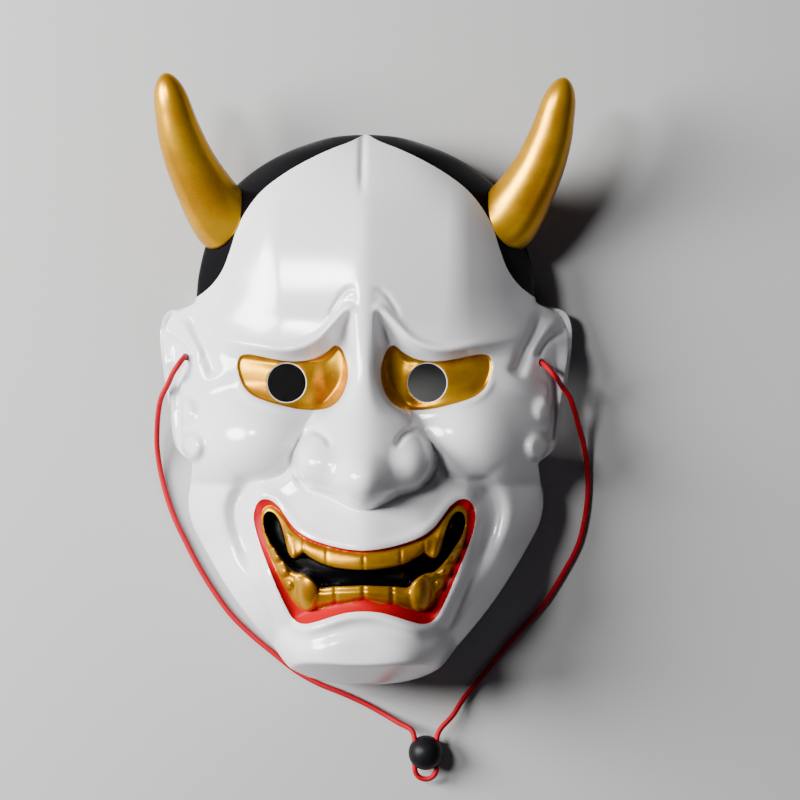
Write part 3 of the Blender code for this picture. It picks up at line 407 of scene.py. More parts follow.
halfOutline = np.vstack([curveThrough(head["top"])[:-1], curveThrough(head["ear"])[:-1],
                         curveThrough(head["jaw"])])
outline = np.vstack([halfOutline, (halfOutline[1:-1] * [-1, 1])[::-1]])
hairHalf = curveThrough(head["hair"])
hairField = np.vstack([hairHalf, [(125, 38), (125, 170), (-125, 170), (-125, 38)],
                       (hairHalf[1:] * [-1, 1])[::-1]])
eyeLine = curveThrough(eyes["line"], 5, True)
lipLine, gumLine, throatLine = (bothSides(mouth[k]) for k in ("lip", "gum", "throat"))
traced = {name: curveThrough(line) for name, line in folds.items()}
noseOutline = bothSides(folds["noseEdge"])

crown = profile((115, 26), (112, 31), (106, 39.5), (96, 48), (82, 55.5), (65, 60.5), (48, 63),
                (30, 63.5), (15, 62.5), (0, 60.5), (-15, 58.5), (-30, 57.5), (-48, 59.5), (-64, 62),
                (-80, 63), (-98, 64), (-112, 66), (-118.5, 67.5), (-125, 66), (-131, 60), (-138.7, 50))
edgeHeight = profile((115, 22), (80, 20), (38, 21), (0, 21), (-40, 20), (-80, 19), (-110, 20),
                     (-125, 22), (-133, 25), (-138.7, 27))
domeWidth = profile((-138.7, 0.0), (-138.2, 12), (-136.8, 20), (-134.2, 27), (-129.4, 34),
                    (-122.4, 41), (-111.8, 49.6), (-100, 58.8), (-85.6, 69), (-74.4, 76.4),
                    (-66, 80.6), (-57, 83.0), (-48, 83.0), (-38, 82.2), (-28, 85.5), (-12, 87.4),
                    (8, 87.4), (22, 86), (32, 82.6), (40, 79.4), (48, 78.6), (62, 75.6), (77, 70.5),
                    (89.5, 62.5), (98.6, 52), (106.6, 37.5), (111.6, 24), (114.2, 11), (115, 0))
brow = profile((3.0, 30.4), (5.6, 31.2), (8, 30.0), (11, 27.0), (14, 23.8), (17.5, 20.2),
               (22, 16.9), (27, 14.8), (33, 13.6), (40, 13.9), (48, 15.3), (57, 17.3), (68, 20.5))
socket = profile((4, 0), (7, 8), (10, 11.5), (14, 12.5), (20, 11), (27, 9), (36, 8), (48, 7), (58, 5),
                 (68, 2), (78, 0), (100, 0))
bank = profile((4, 4.5), (9, 6.5), (14, 8), (20, 7.6), (28, 6), (40, 5.6), (56, 7), (70, 10), (100, 10))
noseCrest = profile((48, 60), (40, 62.6), (34, 63.5), (22, 64), (10, 64.5), (0, 66), (-12, 70.5),
                    (-24, 77.5), (-34, 83.6), (-41, 85.8), (-47, 83), (-52, 77), (-58, 68))
bridgeWidth = profile((48, 11), (38, 9.4), (30, 9.2), (20, 7.8), (8, 7.4), (-4, 8.6), (-14, 10.5),
                      (-30, 13))


def domeHeight(y, u):
    width = np.maximum(domeWidth(y), 0.4)
    t = np.clip(u / width, 0, 1)
    low, top = edgeHeight(y), crown(y)
    z = low + (top - low) * (1 - t ** 3.3) ** 1.03
    keel = ease(30, 50, y) * (1 - ease(98, 114, y))
    z = z - (0.10 * keel + 0.02) * (np.sqrt(u * u + 12) - 3.46) * (1 - t ** 2)
    # the forehead has a flat facet each side of the middle and a steeper one beyond a soft bend
    bend, slope = 43.0, 0.235
    high = top - slope * bend
    s = (u - bend) / np.maximum(width - bend, 6)
    side = high - (high - low) * (0.70 * s + 0.30 * np.clip(s, 0, 1.2) ** 2.6)
    facet = lowerOf(top - slope * (np.sqrt(u * u + 6) - 2.45), side, 2.2)
    return z + (facet - z) * ease(4, 30, y) * (1 - ease(68, 98, y))


def browAndSockets(u, y, z):
    v = np.clip(u, 4.0, 67.5)
    slope = brow(v + 0.5) - brow(v - 0.5)
    below = (brow(v) - y) / np.sqrt(1 + slope ** 2)
    roll = np.exp(-((below + 1.7) / 1.5) ** 2)
    z = z + 1.2 * roll * ease(2, 6, u) * (1 - ease(40, 60, u))
    wide = bank(np.maximum(u, 4.0))
    t = np.clip((below + 0.4) / (wide + 0.4), 0, 1)
    drop = 0.45 * ease(-0.6, wide, below) + 0.55 * (1 - (1 - t) ** 2)
    return z - socket(np.maximum(u, 4.0)) * drop * ease(-34, -8, y)


def cheeksAndChin(u, y, z):
    z = higher(z, lobe(u, y, 0, -79, 60, 47, 79, 37), 5)
    boss = (u / 33) ** 2 + ((y + 113.5) / 24) ** 2
    z = higher(z, 75.0 - 17 * boss ** 1.9, 4)
    z = higher(z, lobe(u, y, 44.5, -24.5, 26, 22, 60.8, 14, -10), 2.0 + 4 * ease(-34, -20, y))
    z = z - 0.14 * (np.sqrt(u * u + 5) - 2.24) * ease(28, 8, u) * ease(-50, -58, y) * ease(-84, -74, y)
    z = z + fold(u, y, traced["cheekFold"], 7.6, 4.2, 8.5)
    return z + groove(u, y, traced["cheekCrease"], 3.2, 2.2, 0.15, 0.75)


def nearestSide(u, y, line):
    # as nearest, and a number that is positive on the left of the line's way
    d, s = nearest(u, y, line)
    ends = np.gradient(line, axis=0)
    k = np.clip((s * (len(line) - 1)).round().astype(int), 0, len(line) - 1)
    return d, s, (u - line[k, 0]) * -ends[k, 1] + (y - line[k, 1]) * ends[k, 0]


def fold(u, y, line, depth, outer, inner):
    # a groove steeper on its outer side, which is on the left of the line's way
    d, s, side = nearestSide(u, y, line)
    width = np.where(side > 0, outer, inner)
    return -depth * np.exp(-(d / width) ** 2) * ease(0, 0.25, s) * ease(0, 0.3, 1 - s)


def noseOn(u, y, z):
    q = np.clip(u / bridgeWidth(y), 0, 3)
    bridge = noseCrest(y) - 10.5 * ((q * q + 0.02) ** 1.25 - 0.0075)
    tent = noseCrest(y) - (0.76 + 0.30 * ease(-24, -40, y)) * (np.sqrt(u * u + 84) - 9.17)
    nose = bridge + (tent - bridge) * ease(2, -18, y)
    nose = higher(nose, lobe(u, y, 0, -41.4, 13.6, 13.6, 88.6, 15.5), 5)
    nose = higher(nose, lobe(u, y, 19.4, -35.4, 13.2, 12.6, 76.4, 12.5), 9)
    edge = 4.9 * np.exp(-np.clip(within(u, y, noseOutline), -9, 20) / 2.1)
    nose = np.where((y < 48) & (y > -64), nose - edge, -50)
    z = higher(z, nose, 2.6 + 11 * ease(-27, -15, y) * ease(6, 15, u))
    z = z + groove(u, y, traced["noseCrease"], 3.0, 1.3, 0.12)
    z = z + groove(u, y, traced["nostril"], 3.0, 1.3, 0.25)
    z = z - 2.4 * np.exp(-((u - 15.4) / 4.6) ** 2 - ((y + 48.4 - 0.3 * (u - 15.4)) / 1.5) ** 2)
    return z + groove(u, y, traced["browWrinkle"], 0.9, 0.9, 0.25)


def eyesIn(u, y, z, eye):
    z = z + 0.7 * np.exp(-((eye + 1.6) / 1.5) ** 2) * ease(4, -4, y)
    z = z - eyes["sunk"] * ease(-0.3, 1.2, eye)
    z = z + eyes["swell"] * np.exp(-((u - 31) / 15) ** 2 - (y / 11) ** 2) * ease(0, 6, eye)
    return z - 0.9 * np.exp(-((u - 18.5) / 3.6) ** 2) * ease(0, 3, eye)


def mouthIn(u, y, z, lip, gum, throat):
    low = ease(-70, -95, y)
    z = z + (1.0 + 0.8 * low) * np.exp(-((lip + 1.9) / 2.2) ** 2)
    z = z - 1.6 * low * np.exp(-((lip + 7.0) / 3.2) ** 2)
    across = np.clip(lip / np.maximum(lip - gum, 0.3), 0, 1)
    z = z - np.where(lip > 0, (2.2 + 1.4 * low) * across ** 0.8, 0)
    z = z + np.where(gum > 0, 1.5 * ease(0, 1.2, gum), 0)
    z = z + teeth(u, y, gum, -throat)
    return z - 8.5 * ease(-0.4, 1.0, throat)


def teeth(u, y, gum, edge):
    # relief of the teeth: gum is the distance from the gum, edge the distance from the throat
    gold = ease(0, 0.7, gum) * ease(-0.3, 0.2, edge)
    upper = ease(-84.5, -83, y) * ease(36, 34, u)
    lower = (1 - ease(-84.5, -83, y)) * ease(30.5, 28.5, u)
    q = np.clip(gum / np.maximum(gum + edge, 0.5), 0, 1)
    relief = upper * (0.9 * np.sin(math.pi * q) - 1.0 * ease(1.3, 0.2, edge))
    for place in mouth["upperGaps"]:
        relief = relief - upper * 0.6 * np.exp(-((u - place) / 0.55) ** 2)
    relief = relief + lower * (1.0 - 2.1 * ease(2.8, 0.4, edge) - 1.3 * ease(2.8, 0.3, gum))
    for place in mouth["lowerGaps"]:
        relief = relief - lower * 1.1 * np.exp(-((u - place) / 0.8) ** 2)
    back = ease(30.5, 32, u) * ease(-66, -68.5, y)
    lumps = np.full(u.shape, -0.7)
    for x, yy in mouth["backTeeth"]:
        lumps = np.maximum(lumps, 1.9 - 3.0 * ((u - x) ** 2 + (y - yy) ** 2) / 3.1 ** 2)
    relief = relief + back * lumps
    d, _ = nearest(u, y, np.array(mouth["upperFang"]))
    relief = relief + 1.7 * np.exp(-(d / 1.7) ** 2)
    fx, fy, rx, ry = mouth["fang"]
    egg = np.clip(1 - ((u - fx) / rx) ** 2 - ((y - fy) / ry) ** 2, 0, 1) ** 0.5
    return relief * gold * (1 - ease(0, 0.3, egg)) + 3.8 * egg * ease(-0.3, 0.2, edge)


def earsOn(u, y, z):
    d, s = nearest(u, y, traced["earValley"])
    z = z - 4.0 * np.exp(-(d / 3.0) ** 2) * ease(0, 0.3, s) * ease(0, 0.1, 1 - s)
    z = z + groove(u, y, traced["earRidge"], -1.6, 2.0, 0.2)
    z = z + groove(u, y, traced["earGroove"], 2.4, 1.8, 0.12)
    d, s, outside = nearestSide(u, y, traced["earCrease"])
    fade = ease(0, 0.08, s) * ease(0, 0.08, 1 - s)
    relief = -3.6 * np.exp(-(d / 1.25) ** 2) * fade
    strip = ease(0, 1.2, np.where(outside > 0, d, 0)) * (d < 12)
    relief = relief - 1.6 * strip * ease(-34, -28, y) * ease(10, 4, y)
    relief = relief + 4.6 * np.exp(-(((u - 80.6) / 4.4) ** 2 + ((y + 12.6) / 5.4) ** 2) ** 1.5)
    relief = relief + 1.4 * np.exp(-(((u - 81.6) / 2.4) ** 2 + ((y + 8.6) / 2.8) ** 2))
    relief = relief + 5.6 * np.exp(-(((u - 77.9) / 5.6) ** 2 + ((y + 28.6) / 6.2) ** 2) ** 2.2)
    return z + np.where((u > 66) & (np.abs(y) < 45), relief, 0)


def faceHeight(x, y):
    u = np.abs(x)
    z = domeHeight(y, u)
    z = browAndSockets(u, y, z)
    z = cheeksAndChin(u, y, z)
    z = noseOn(u, y, z)
    under = 74.0 - 3.0 * (-122.4 - 0.001 * u * u - y) - 0.016 * u * u
    z = np.where(y < -95, lowerOf(z, np.maximum(under, 26), 1.6), z)
    z = eyesIn(u, y, z, within(u, y, eyeLine))
    z = mouthIn(u, y, z, within(x, y, lipLine), within(x, y, gumLine), within(x, y, throatLine))
    z = z - 1.6 * np.exp(-((x + 1.2) / 1.6) ** 2) * ease(80, 94, y)  # parting of the hair
    return earsOn(u, y, z)


def rimHeight(x, y):
    u = np.abs(x)
    return head["earRim"] * ease(80.4, 90, u) * ease(-37.5, -31, y) * ease(38.2, 34, y)


# the moulding as one closed mesh: outer skin, rounded edge, wall, rim, inner skin and hole walls

mesh = {
    "fine": 0.64, "coarse": 0.98, "inner": 2.0,
    "fineBox": (-59, 59, -112, 18),  # the features that need the finer cells
    "rollDown": [(0.45, 0.04), (0.22, 0.16), (0.06, 0.38), (0.0, 0.7)],
}


def steps(low, high, fineLow, fineHigh, fine, coarse):
    # grid lines that lie closer together between two places
    parts = []
    for a, b, size in ((low, fineLow, coarse), (fineLow, fineHigh, fine), (fineHigh, high, coarse)):
        parts.append(np.linspace(a, b, max(2, int(round((b - a) / size)) + 1))[:-1])
    line = np.concatenate(parts + [[high]])
    for _ in range(12):
        line[1:-1] = (line[:-2] + 2 * line[1:-1] + line[2:]) / 4
    return line


def trimmedSheet(xs, ys, distance):
    # the square cells inside a border, their corner points and the loops round them
    gx, gy = np.meshgrid(xs, ys)
    room = np.minimum(np.gradient(xs)[None, :], np.gradient(ys)[:, None])
    keep = distance(gx, gy) > 0.3 * room
    full = keep[:-1, :-1] & keep[1:, :-1] & keep[:-1, 1:] & keep[1:, 1:]
    for _ in range(5):
        p = np.pad(full, 1).astype(int)
        full &= p[:-2, 1:-1] + p[2:, 1:-1] + p[1:-1, :-2] + p[1:-1, 2:] >= 2
        a, b, c, d = full[:-1, :-1], full[:-1, 1:], full[1:, :-1], full[1:, 1:]
        corner = (a & d & ~b & ~c) | (b & c & ~a & ~d)
        for part in (a, b, c, d):
            part &= ~corner
    j, i = np.nonzero(full)
    columns = len(xs)
    cells = np.column_stack([j * columns + i, j * columns + i + 1, (j + 1) * columns + i + 1,
                             (j + 1) * columns + i])
    used, cells = np.unique(cells, return_inverse=True)
    cells = cells.reshape(-1, 4)
    flat = np.column_stack([gx.ravel()[used], gy.ravel()[used]])
    starts = cells.ravel()
    ends = np.roll(cells, -1, 1).ravel()
    count = len(used)
    border = ~np.isin(ends * count + starts, starts * count + ends)
    follow = dict(zip(starts[border].tolist(), ends[border].tolist()))
    loops = []
    while follow:
        first = next(iter(follow))
        loop, at = [], first
        while at in follow:
            loop.append(at)
            at = follow.pop(at)
        loops.append(np.array(loop))
    loops.sort(key=len, reverse=True)
    return flat, cells, loops


def evened(at, total, rounds=30):
    # places along a closed line, kept in order and spread more evenly
    at = np.unwrap(at / total * 2 * math.pi) * total / (2 * math.pi)
    way = np.sign(at[-1] - at[0])
    at = np.maximum.accumulate(at * way) * way
    for _ in range(rounds):
        back = np.roll(at, 1)
        back[0] -= way * total
        on = np.roll(at, -1)
        on[-1] += way * total
        at = (back + 2 * at + on) / 4
    return at


class Border:
    # a closed line that points can be put on, at any distance inside it

    def __init__(self, line, step):
        self.line = spaced(line, step, True)
        self.total = lineLength(np.vstack([self.line, self.line[:1]]))
        way = np.roll(self.line, -1, 0) - np.roll(self.line, 1, 0)
        normal = np.column_stack([-way[:, 1], way[:, 0]])
        normal /= np.linalg.norm(normal, axis=1)[:, None]
        probe = self.line + normal * 0.1
        if not isInside(probe[:1, 0], probe[:1, 1], self.line)[0]:
            normal = -normal
        for _ in range(5):
            normal = np.roll(normal, 1, 0) + 2 * normal + np.roll(normal, -1, 0)
            normal /= np.linalg.norm(normal, axis=1)[:, None]
        self.normal = normal

    def along(self, flat):
        _, share = nearest(flat[:, 0], flat[:, 1], self.line, True, 60)
        return share * self.total

    def at(self, places, inset):
        k = np.mod(places / self.total, 1) * len(self.line)
        i = k.astype(int) % len(self.line)
        j, f = (i + 1) % len(self.line), (k - k.astype(int))[:, None]
        a, b = (self.line[n] + inset * self.normal[n] for n in (i, j))
        return a * (1 - f) + b * f


def ringAt(place, radius, turns):
    return np.column_stack([place[0] + radius * np.cos(turns), place[1] + radius * np.sin(turns)])


def relaxed(flat, cells, fixed, near, rounds=8):
    # points near a border drawn towards the middle of their neighbours
    a = cells.ravel()
    b = np.roll(cells, -1, 1).ravel()
    free = near & ~fixed
    for _ in range(rounds):
        total = np.zeros_like(flat)
        count = np.zeros(len(flat))
        for p, q in ((a, b), (b, a)):
            np.add.at(total, p, flat[q])
            np.add.at(count, p, 1)
        middle = total / count[:, None]
        flat[free] = flat[free] * 0.4 + middle[free] * 0.6
    return flat


def underside(wall):
    # inner surface: what a ball of the wall's radius leaves when it rolls along the underside
    size = 0.9
    xs, ys = np.arange(-97.2, 97.3, size), np.arange(-140.4, 117.1, size)
    z = faceHeight(*np.meshgrid(xs, ys))
    reach = int(wall / size)
    pad = np.pad(z, reach, mode="edge")
    rows, columns = z.shape
    out = np.full(z.shape, 1e9)
    for i in range(-reach, reach + 1):
        for j in range(-reach, reach + 1):
            d2 = (i * i + j * j) * size * size
            if d2 <= wall * wall:
                part = pad[reach + j:reach + j + rows, reach + i:reach + i + columns]
                out = np.minimum(out, part - math.sqrt(wall * wall - d2))

    def value(x, y):
        fx = np.clip((x - xs[0]) / size, 0, columns - 1.001)
        fy = np.clip((y - ys[0]) / size, 0, rows - 1.001)
        i, j = fx.astype(int), fy.astype(int)
        a, b = fx - i, fy - j
        return (out[j, i] * (1 - a) + out[j, i + 1] * a) * (1 - b) + \
               (out[j + 1, i] * (1 - a) + out[j + 1, i + 1] * a) * b

    return value


def zipped(a, b, turnA, turnB):
    # triangles between two closed rings with unlike counts, both in the order of their turns
    faces, i, j = [], 0, 0
    while i < len(a) or j < len(b):
        nextA = turnA[i + 1] if i + 1 < len(a) else turnA[0] + 1
        nextB = turnB[j + 1] if j + 1 < len(b) else turnB[0] + 1
        if j >= len(b) or (i < len(a) and nextA <= nextB):
            faces.append((a[i % len(a)], a[(i + 1) % len(a)], b[j % len(b)]))
            i += 1
        else:
            faces.append((b[(j + 1) % len(b)], b[j % len(b)], a[i % len(a)]))
            j += 1
    return faces


def skin(xs, ys, inset, grow, border, holes):
    # one skin in plan: its points, cells, and for each loop the places of its points
    def distance(x, y):
        d = within(x, y, outline, 8.0)
        d = np.where(d < -7.9, np.where(isInside(x, y, outline), 60, -60), d) - inset
        for place, radius in holes:
            d = np.minimum(d, np.hypot(x - place[0], y - place[1]) - radius - grow)
        return d

    flat, cells, loops = trimmedSheet(xs, ys, distance)
    fixed = np.zeros(len(flat), bool)
    places = []
    for loop in loops:
        fixed[loop] = True
        middle = flat[loop].mean(0)
        hole = None
        for place, radius in holes:
            if math.hypot(middle[0] - place[0], middle[1] - place[1]) < 2:
                hole = (place, radius)
        if hole:
            turn = np.arctan2(flat[loop, 1] - hole[0][1], flat[loop, 0] - hole[0][0])
            at = evened(turn, 2 * math.pi, 12)
            flat[loop] = ringAt(hole[0], hole[1] + grow, at)
        else:
            at = evened(border.along(flat[loop]), border.total)
            flat[loop] = border.at(at, inset)
        places.append((hole, at))
    near = distance(flat[:, 0], flat[:, 1]) < 3.2
    flat = relaxed(flat, cells, fixed, near)
    return flat, cells, loops, places


def makeMoulding(p):
    holes = [(place, head["eyeHoleRadius"]) for place in head["eyeHoles"]]
    holes += [(cord[k], head["cordHoleRadius"]) for k in ("holeLeft", "holeRight")]
    border = Border(outline, 1.0)
    x0, x1, y0, y1 = mesh["fineBox"]
    xs = steps(-96, 96, x0, x1, mesh["fine"], mesh["coarse"])
    ys = steps(-139.5, 116, y0, y1, mesh["fine"], mesh["coarse"])
    inset = head["draft"] + mesh["rollDown"][0][0]
    flat, cells, loops, places = skin(xs, ys, inset, 0.3, border, holes)
    print("outer skin:", len(cells), "cells,", len(loops), "loops")
    points = [np.column_stack([flat, faceHeight(flat[:, 0], flat[:, 1])])]
    faces = [tuple(c) for c in cells.tolist()]
    total = len(flat)
    painted = [len(faces)]

    def addRing(ring):
        nonlocal total
        points.append(ring)
        total += len(ring)
        return np.arange(total - len(ring), total)

    def joinTo(last, ring):
        new = addRing(ring)
        for k in range(len(last)):
            n = (k + 1) % len(last)
            faces.append((int(last[n]), int(last[k]), int(new[k]), int(new[n])))
        return new

    # the rounded edge and the outer wall take the paint too, so they come before the rest
    loop, at = loops[0], places[0][1]
    edge = border.at(at, head["draft"])
    top = faceHeight(edge[:, 0], edge[:, 1])
    foot = border.at(at, 0.0)
    rim = rimHeight(foot[:, 0], foot[:, 1])
    last = loop
    for out, drop in mesh["rollDown"][1:]:
        last = joinTo(last, np.column_stack([border.at(at, head["draft"] + out), top - drop]))
    start = top - mesh["rollDown"][-1][1]
    for share in (0.2, 0.4, 0.6, 0.8, 1.0):
        ring = border.at(at, head["draft"] * (1 - share))
        last = joinTo(last, np.column_stack([ring, start + (rim - start) * share]))
    painted.append(len(faces))

    innerAt = underside(head["wall"])
    size = mesh["inner"]
    innerInset = head["wall"] + head["draft"]
    flatIn, cellsIn, loopsIn, placesIn = skin(np.arange(-96, 96, size), np.arange(-139.5, 116, size),
                                              innerInset, 0.0, border, holes)
    print("inner skin:", len(cellsIn), "cells,", len(loopsIn), "loops")
    firstIn = total
    points.append(np.column_stack([flatIn, innerAt(flatIn[:, 0], flatIn[:, 1])]))
    total += len(flatIn)
    faces += [tuple(c[::-1]) for c in (cellsIn + firstIn).tolist()]

    for loop, (hole, at) in zip(loops, places):
        mateLoop, mateAt = next((l + firstIn, p[1]) for l, p in zip(loopsIn, placesIn)
                                if (p[0] is None) == (hole is None) and (hole is None or p[0] == hole))
        if hole is None:
            last = joinTo(last, np.column_stack([border.at(at, head["wall"]), rim]))
            inTop = border.at(at, innerInset)
            inHigh = innerAt(inTop[:, 0], inTop[:, 1])
            for share in (0.3, 0.6, 0.85):
                ring = border.at(at, head["wall"] + head["draft"] * share)
                last = joinTo(last, np.column_stack([ring, rim + (inHigh - rim) * share]))
            end, whole = last, border.total
        else:
            place, radius = hole
            end, whole = loop, 2 * math.pi
            high = points[0][loop, 2]
            for grow, drop in ((0.12, 0.06), (0.0, 0.25), (0.0, 0.8)):
                end = joinTo(end, np.column_stack([ringAt(place, radius + grow, at), high - drop]))
        way = 1 if at[-1] > at[0] else -1
        sameWay = (mateAt[-1] > mateAt[0]) == (at[-1] > at[0])
        turnA = way * at / whole
        turnB = way * mateAt / whole
        if not sameWay:
            mateLoop, turnB = mateLoop[::-1], turnB[::-1]
        turnB = turnB + np.floor(turnA[0] - turnB)
        near = int(np.argmin(np.abs(turnB - turnA[0])))
        mateLoop, turnB = np.roll(mateLoop, -near), np.roll(turnB, -near)
        turnB = np.unwrap(turnB * 2 * math.pi) / (2 * math.pi)
        faces += [tuple(int(v) for v in f) for f in zipped(end, mateLoop, turnA, turnB)]

    piece = meshPiece("carvedFace", np.vstack(points), faces)
    paintFace(piece, p, painted, len(flat))
    piece.data.shade_smooth()
    piece.data.set_sharp_from_angle(angle=math.radians(82))
    return piece


# paint: the mesh is cut along each painted line, then every face gets the paint it lies in

def fangEdge(u, y):
    fx, fy, rx, ry = mouth["fang"]
    return (1 - np.hypot((u - fx) / rx, (y - fy) / ry)) * min(rx, ry)


def scallops(u, y):
    # each lower tooth has its own round foot
    place = mouth["lowerGaps"][1]
    return 0.42 * np.cos(2 * math.pi * (u / place - 0.5)) * ease(-88, -91, y) * ease(21, 19, u)


fields = {
    "hair": lambda x, y: within(x, y, hairField, 6.0),
    "eye": lambda x, y: within(np.abs(x), y, eyeLine, 6.0),
    "lip": lambda x, y: within(x, y, lipLine, 6.0),
    "gum": lambda x, y: np.maximum(within(x, y, gumLine, 6.0) + scallops(np.abs(x), y),
                                   fangEdge(np.abs(x), y)),
    "throat": lambda x, y: within(x, y, throatLine, 6.0),
}
paintLines = [("hair", 0), ("eye", 0), ("eye", 1.1), ("lip", 0), ("gum", 0), ("gum", 0.9),
              ("throat", -0.45), ("throat", 0.05), ("throat", 0.55), ("throat", 1.05)]
paintOrder = [("hair", 0, 1), ("lip", 0, 2), ("gum", 0, 3), ("eye", 0, 3), ("throat", 0.05, 4)]


def cutAlong(faces, skinVerts, field):
    # new edges where the field changes sign
    verts = list({v for f in faces for v in f.verts})
    at = np.array([v.co[:2] for v in verts]) / mm
    value = field(at[:, 0], at[:, 1])
    value[np.abs(value) < 0.03] = 0.03
    value = dict(zip(verts, value.tolist()))
    made = []
    for edge in list({e for f in faces for e in f.edges}):
        a, b = edge.verts
        if a in value and b in value and value[a] * value[b] < 0:
            onSkin = a in skinVerts and b in skinVerts
            _, new = bmesh.utils.edge_split(edge, a, value[a] / (value[a] - value[b]))
            made.append(new)
            if onSkin:
                skinVerts.add(new)
    isNew = set(made)
    for face in list({f for v in made for f in v.link_faces}):
        if face not in faces:
            continue
        cuts = [v for v in face.verts if v in isNew]
        while len(cuts) >= 2:
            a, b = cuts.pop(0), cuts.pop(0)
            home = next((f for f in a.link_faces if b in f.verts and f in faces), None)
            if home:
                faces.add(bmesh.utils.face_split(home, a, b)[0])


def paintFace(piece, p, painted, skinCount):
    bm = bmesh.new()
    bm.from_mesh(piece.data)
    bm.verts.ensure_lookup_table()
    bm.faces.ensure_lookup_table()
    faces = set(bm.faces[:painted[1]])
    skinVerts = set(bm.verts[:skinCount])
    first = set(skinVerts)
    for name, offset in paintLines:
        cutAlong(faces, skinVerts, lambda x, y: fields[name](x, y) - offset)
    fresh = [v for v in skinVerts if v not in first]
    at = np.array([v.co[:2] for v in fresh]) / mm
    for vert, z in zip(fresh, faceHeight(at[:, 0], at[:, 1])):
        vert.co.z = z * mm
    for face in bm.faces:
        face.material_index = 5
    faces = list(faces)
    at = np.array([f.calc_center_median()[:2] for f in faces]) / mm
    paint = np.zeros(len(faces), int)
    for name, offset, index in paintOrder:
        paint[fields[name](at[:, 0], at[:, 1]) > offset] = index
    for face, index in zip(faces, paint.tolist()):
        face.material_index = index
    bmesh.ops.recalc_face_normals(bm, faces=bm.faces)
    print("moulding:", len(bm.faces), "faces,", sum(len(f.verts) - 2 for f in bm.faces), "triangles,",
          sum(not e.is_manifold for e in bm.edges), "open edges")
    bm.to_mesh(piece.data)
    bm.free()
    for finish in (p["white"], p["hair"], p["red"], p["gold"], p["black"], p["bare"]):
        piece.data.materials.append(finish)


# horns: a round sheet along a bent middle line, its foot fitted to the moulding

horn = {
    "lower": (1.2, 3.2),  # how much lower the left and right tips stand than the drawn line
    "line": [(50, 67.5, 19, 17.6), (57, 71.2, 21.5, 17.0), (63.7, 75.2, 24.8, 15.8),
             (68.4, 80.6, 28.2, 14.2), (72.4, 87.4, 31.8, 12.9), (76.2, 94.8, 35.2, 11.8),
             (79.4, 102.2, 38.4, 10.9), (83.0, 113.4, 42.8, 9.6), (85.2, 123.2, 46.2, 8.2)],
    "tip": 16.4, "around": 64, "rings": 110, "gap": 0.2,
    "seamHeight": 0.3, "seamWidth": 0.55, "seamTurn": 68,
}


def inMoulding(points):
    x, y, z = points[..., 0], points[..., 1], points[..., 2]
    slant = head["draft"] * np.clip(z / edgeHeight(y), 0, 1)
    shape = x.shape
    d = within(x.ravel(), y.ravel(), outline, 40.0).reshape(shape)
    h = faceHeight(x.ravel(), y.ravel()).reshape(shape)
    return np.minimum(h - z, d - slant)


def makeHorn(name, side, h):
    down = h["lower"][(side + 1) // 2]
    line = [(x * side, y - down * ease(70, 124, y), z, r) for x, y, z, r in h["line"]]
    line = curveThrough(line, 12)
    last, way = line[-1], line[-1][:3] - line[-2][:3]
    taper = (line[-2][3] - last[3]) / np.linalg.norm(way)
    way = way / np.linalg.norm(way)
    tip = []
    for k in range(1, 29):
        s = math.sin(k / 28 * math.pi / 2)
        radius = (last[3] - 0.8 * taper * h["tip"] * s) * (1 - s ** 2.8) ** 0.52
        tip.append((*(last[:3] + way * h["tip"] * s), max(radius, 0.02)))
    line = np.vstack([line, tip])
    step = np.gradient(line[:, :3], axis=0)
    ways = step / np.linalg.norm(step, axis=1)[:, None]
    front = np.array([0, 0, 1.0]) - ways * ways[:, 2:3]
    front /= np.linalg.norm(front, axis=1)[:, None]
    outward = np.cross(front, ways) * side
    turn = np.linspace(0, 2 * math.pi, h["around"] + 1)[:-1]
    across = (np.cos(turn)[None, :, None] * front[:, None]
              + np.sin(turn)[None, :, None] * outward[:, None])
    seam = np.zeros((len(line), h["around"]))
    for place in (h["seamTurn"], 360 - h["seamTurn"] - 20):
        off = (np.degrees(turn)[None, :] - place + 180) % 360 - 180
        arc = np.radians(off) * line[:, 3:4]
        seam += h["seamHeight"] * np.exp(-(arc / h["seamWidth"]) ** 2) * np.clip(line[:, 3:4] / 8, 0, 1) ** 2

    def sheet(share):
        return line[:, None, :3] + (line[:, 3:4] * share + seam * share)[:, :, None] * across

    def foot(share):  # where each lengthwise line of the sheet leaves the moulding
        points = sheet(share)
        inside = inMoulding(points[:60]) + h["gap"]
        at = np.zeros(h["around"])
        for k in range(h["around"]):
            hits = np.nonzero(inside[:, k] > 0)[0]
            i = hits[-1]
            at[k] = i + inside[i, k] / (inside[i, k] - inside[i + 1, k])
        return points, at

    def read(points, at):
        i = np.clip(at.astype(int), 0, len(line) - 2)
        f = (at - i)[:, None]
        k = np.arange(h["around"])
        return points[i, k] * (1 - f) + points[i + 1, k] * f

    rings = []
    for share in (0.0, 0.25, 0.5, 0.7, 0.85, 0.955, 0.985):
        points, at = foot(share)
        if share == 0.0:
            rings.append(read(points, at)[:1])
        else:
            rings.append(read(points, at + (0.0 if share < 0.97 else 0.08)))
    points, at = foot(1.0)
    for s in np.linspace(0, 1, h["rings"]) ** 0.93:
        on = at + 0.35 + (len(line) - 1 - at - 0.35) * s
        rings.append(read(points, np.minimum(on, len(line) - 1)))
    verts = np.vstack(rings)
    n = h["around"]
    faces = [(0, 1 + (k + 1) % n, 1 + k) for k in range(n)]
    for r in range(len(rings) - 2):
        a, b = 1 + r * n, 1 + (r + 1) * n
        faces += [(a + k, a + (k + 1) % n, b + (k + 1) % n, b + k) for k in range(n)]
    faces.append(tuple(1 + (len(rings) - 2) * n + k for k in range(n)))
    piece = meshPiece(name, verts, faces)
    turnOutward(piece)
    return piece


# materials

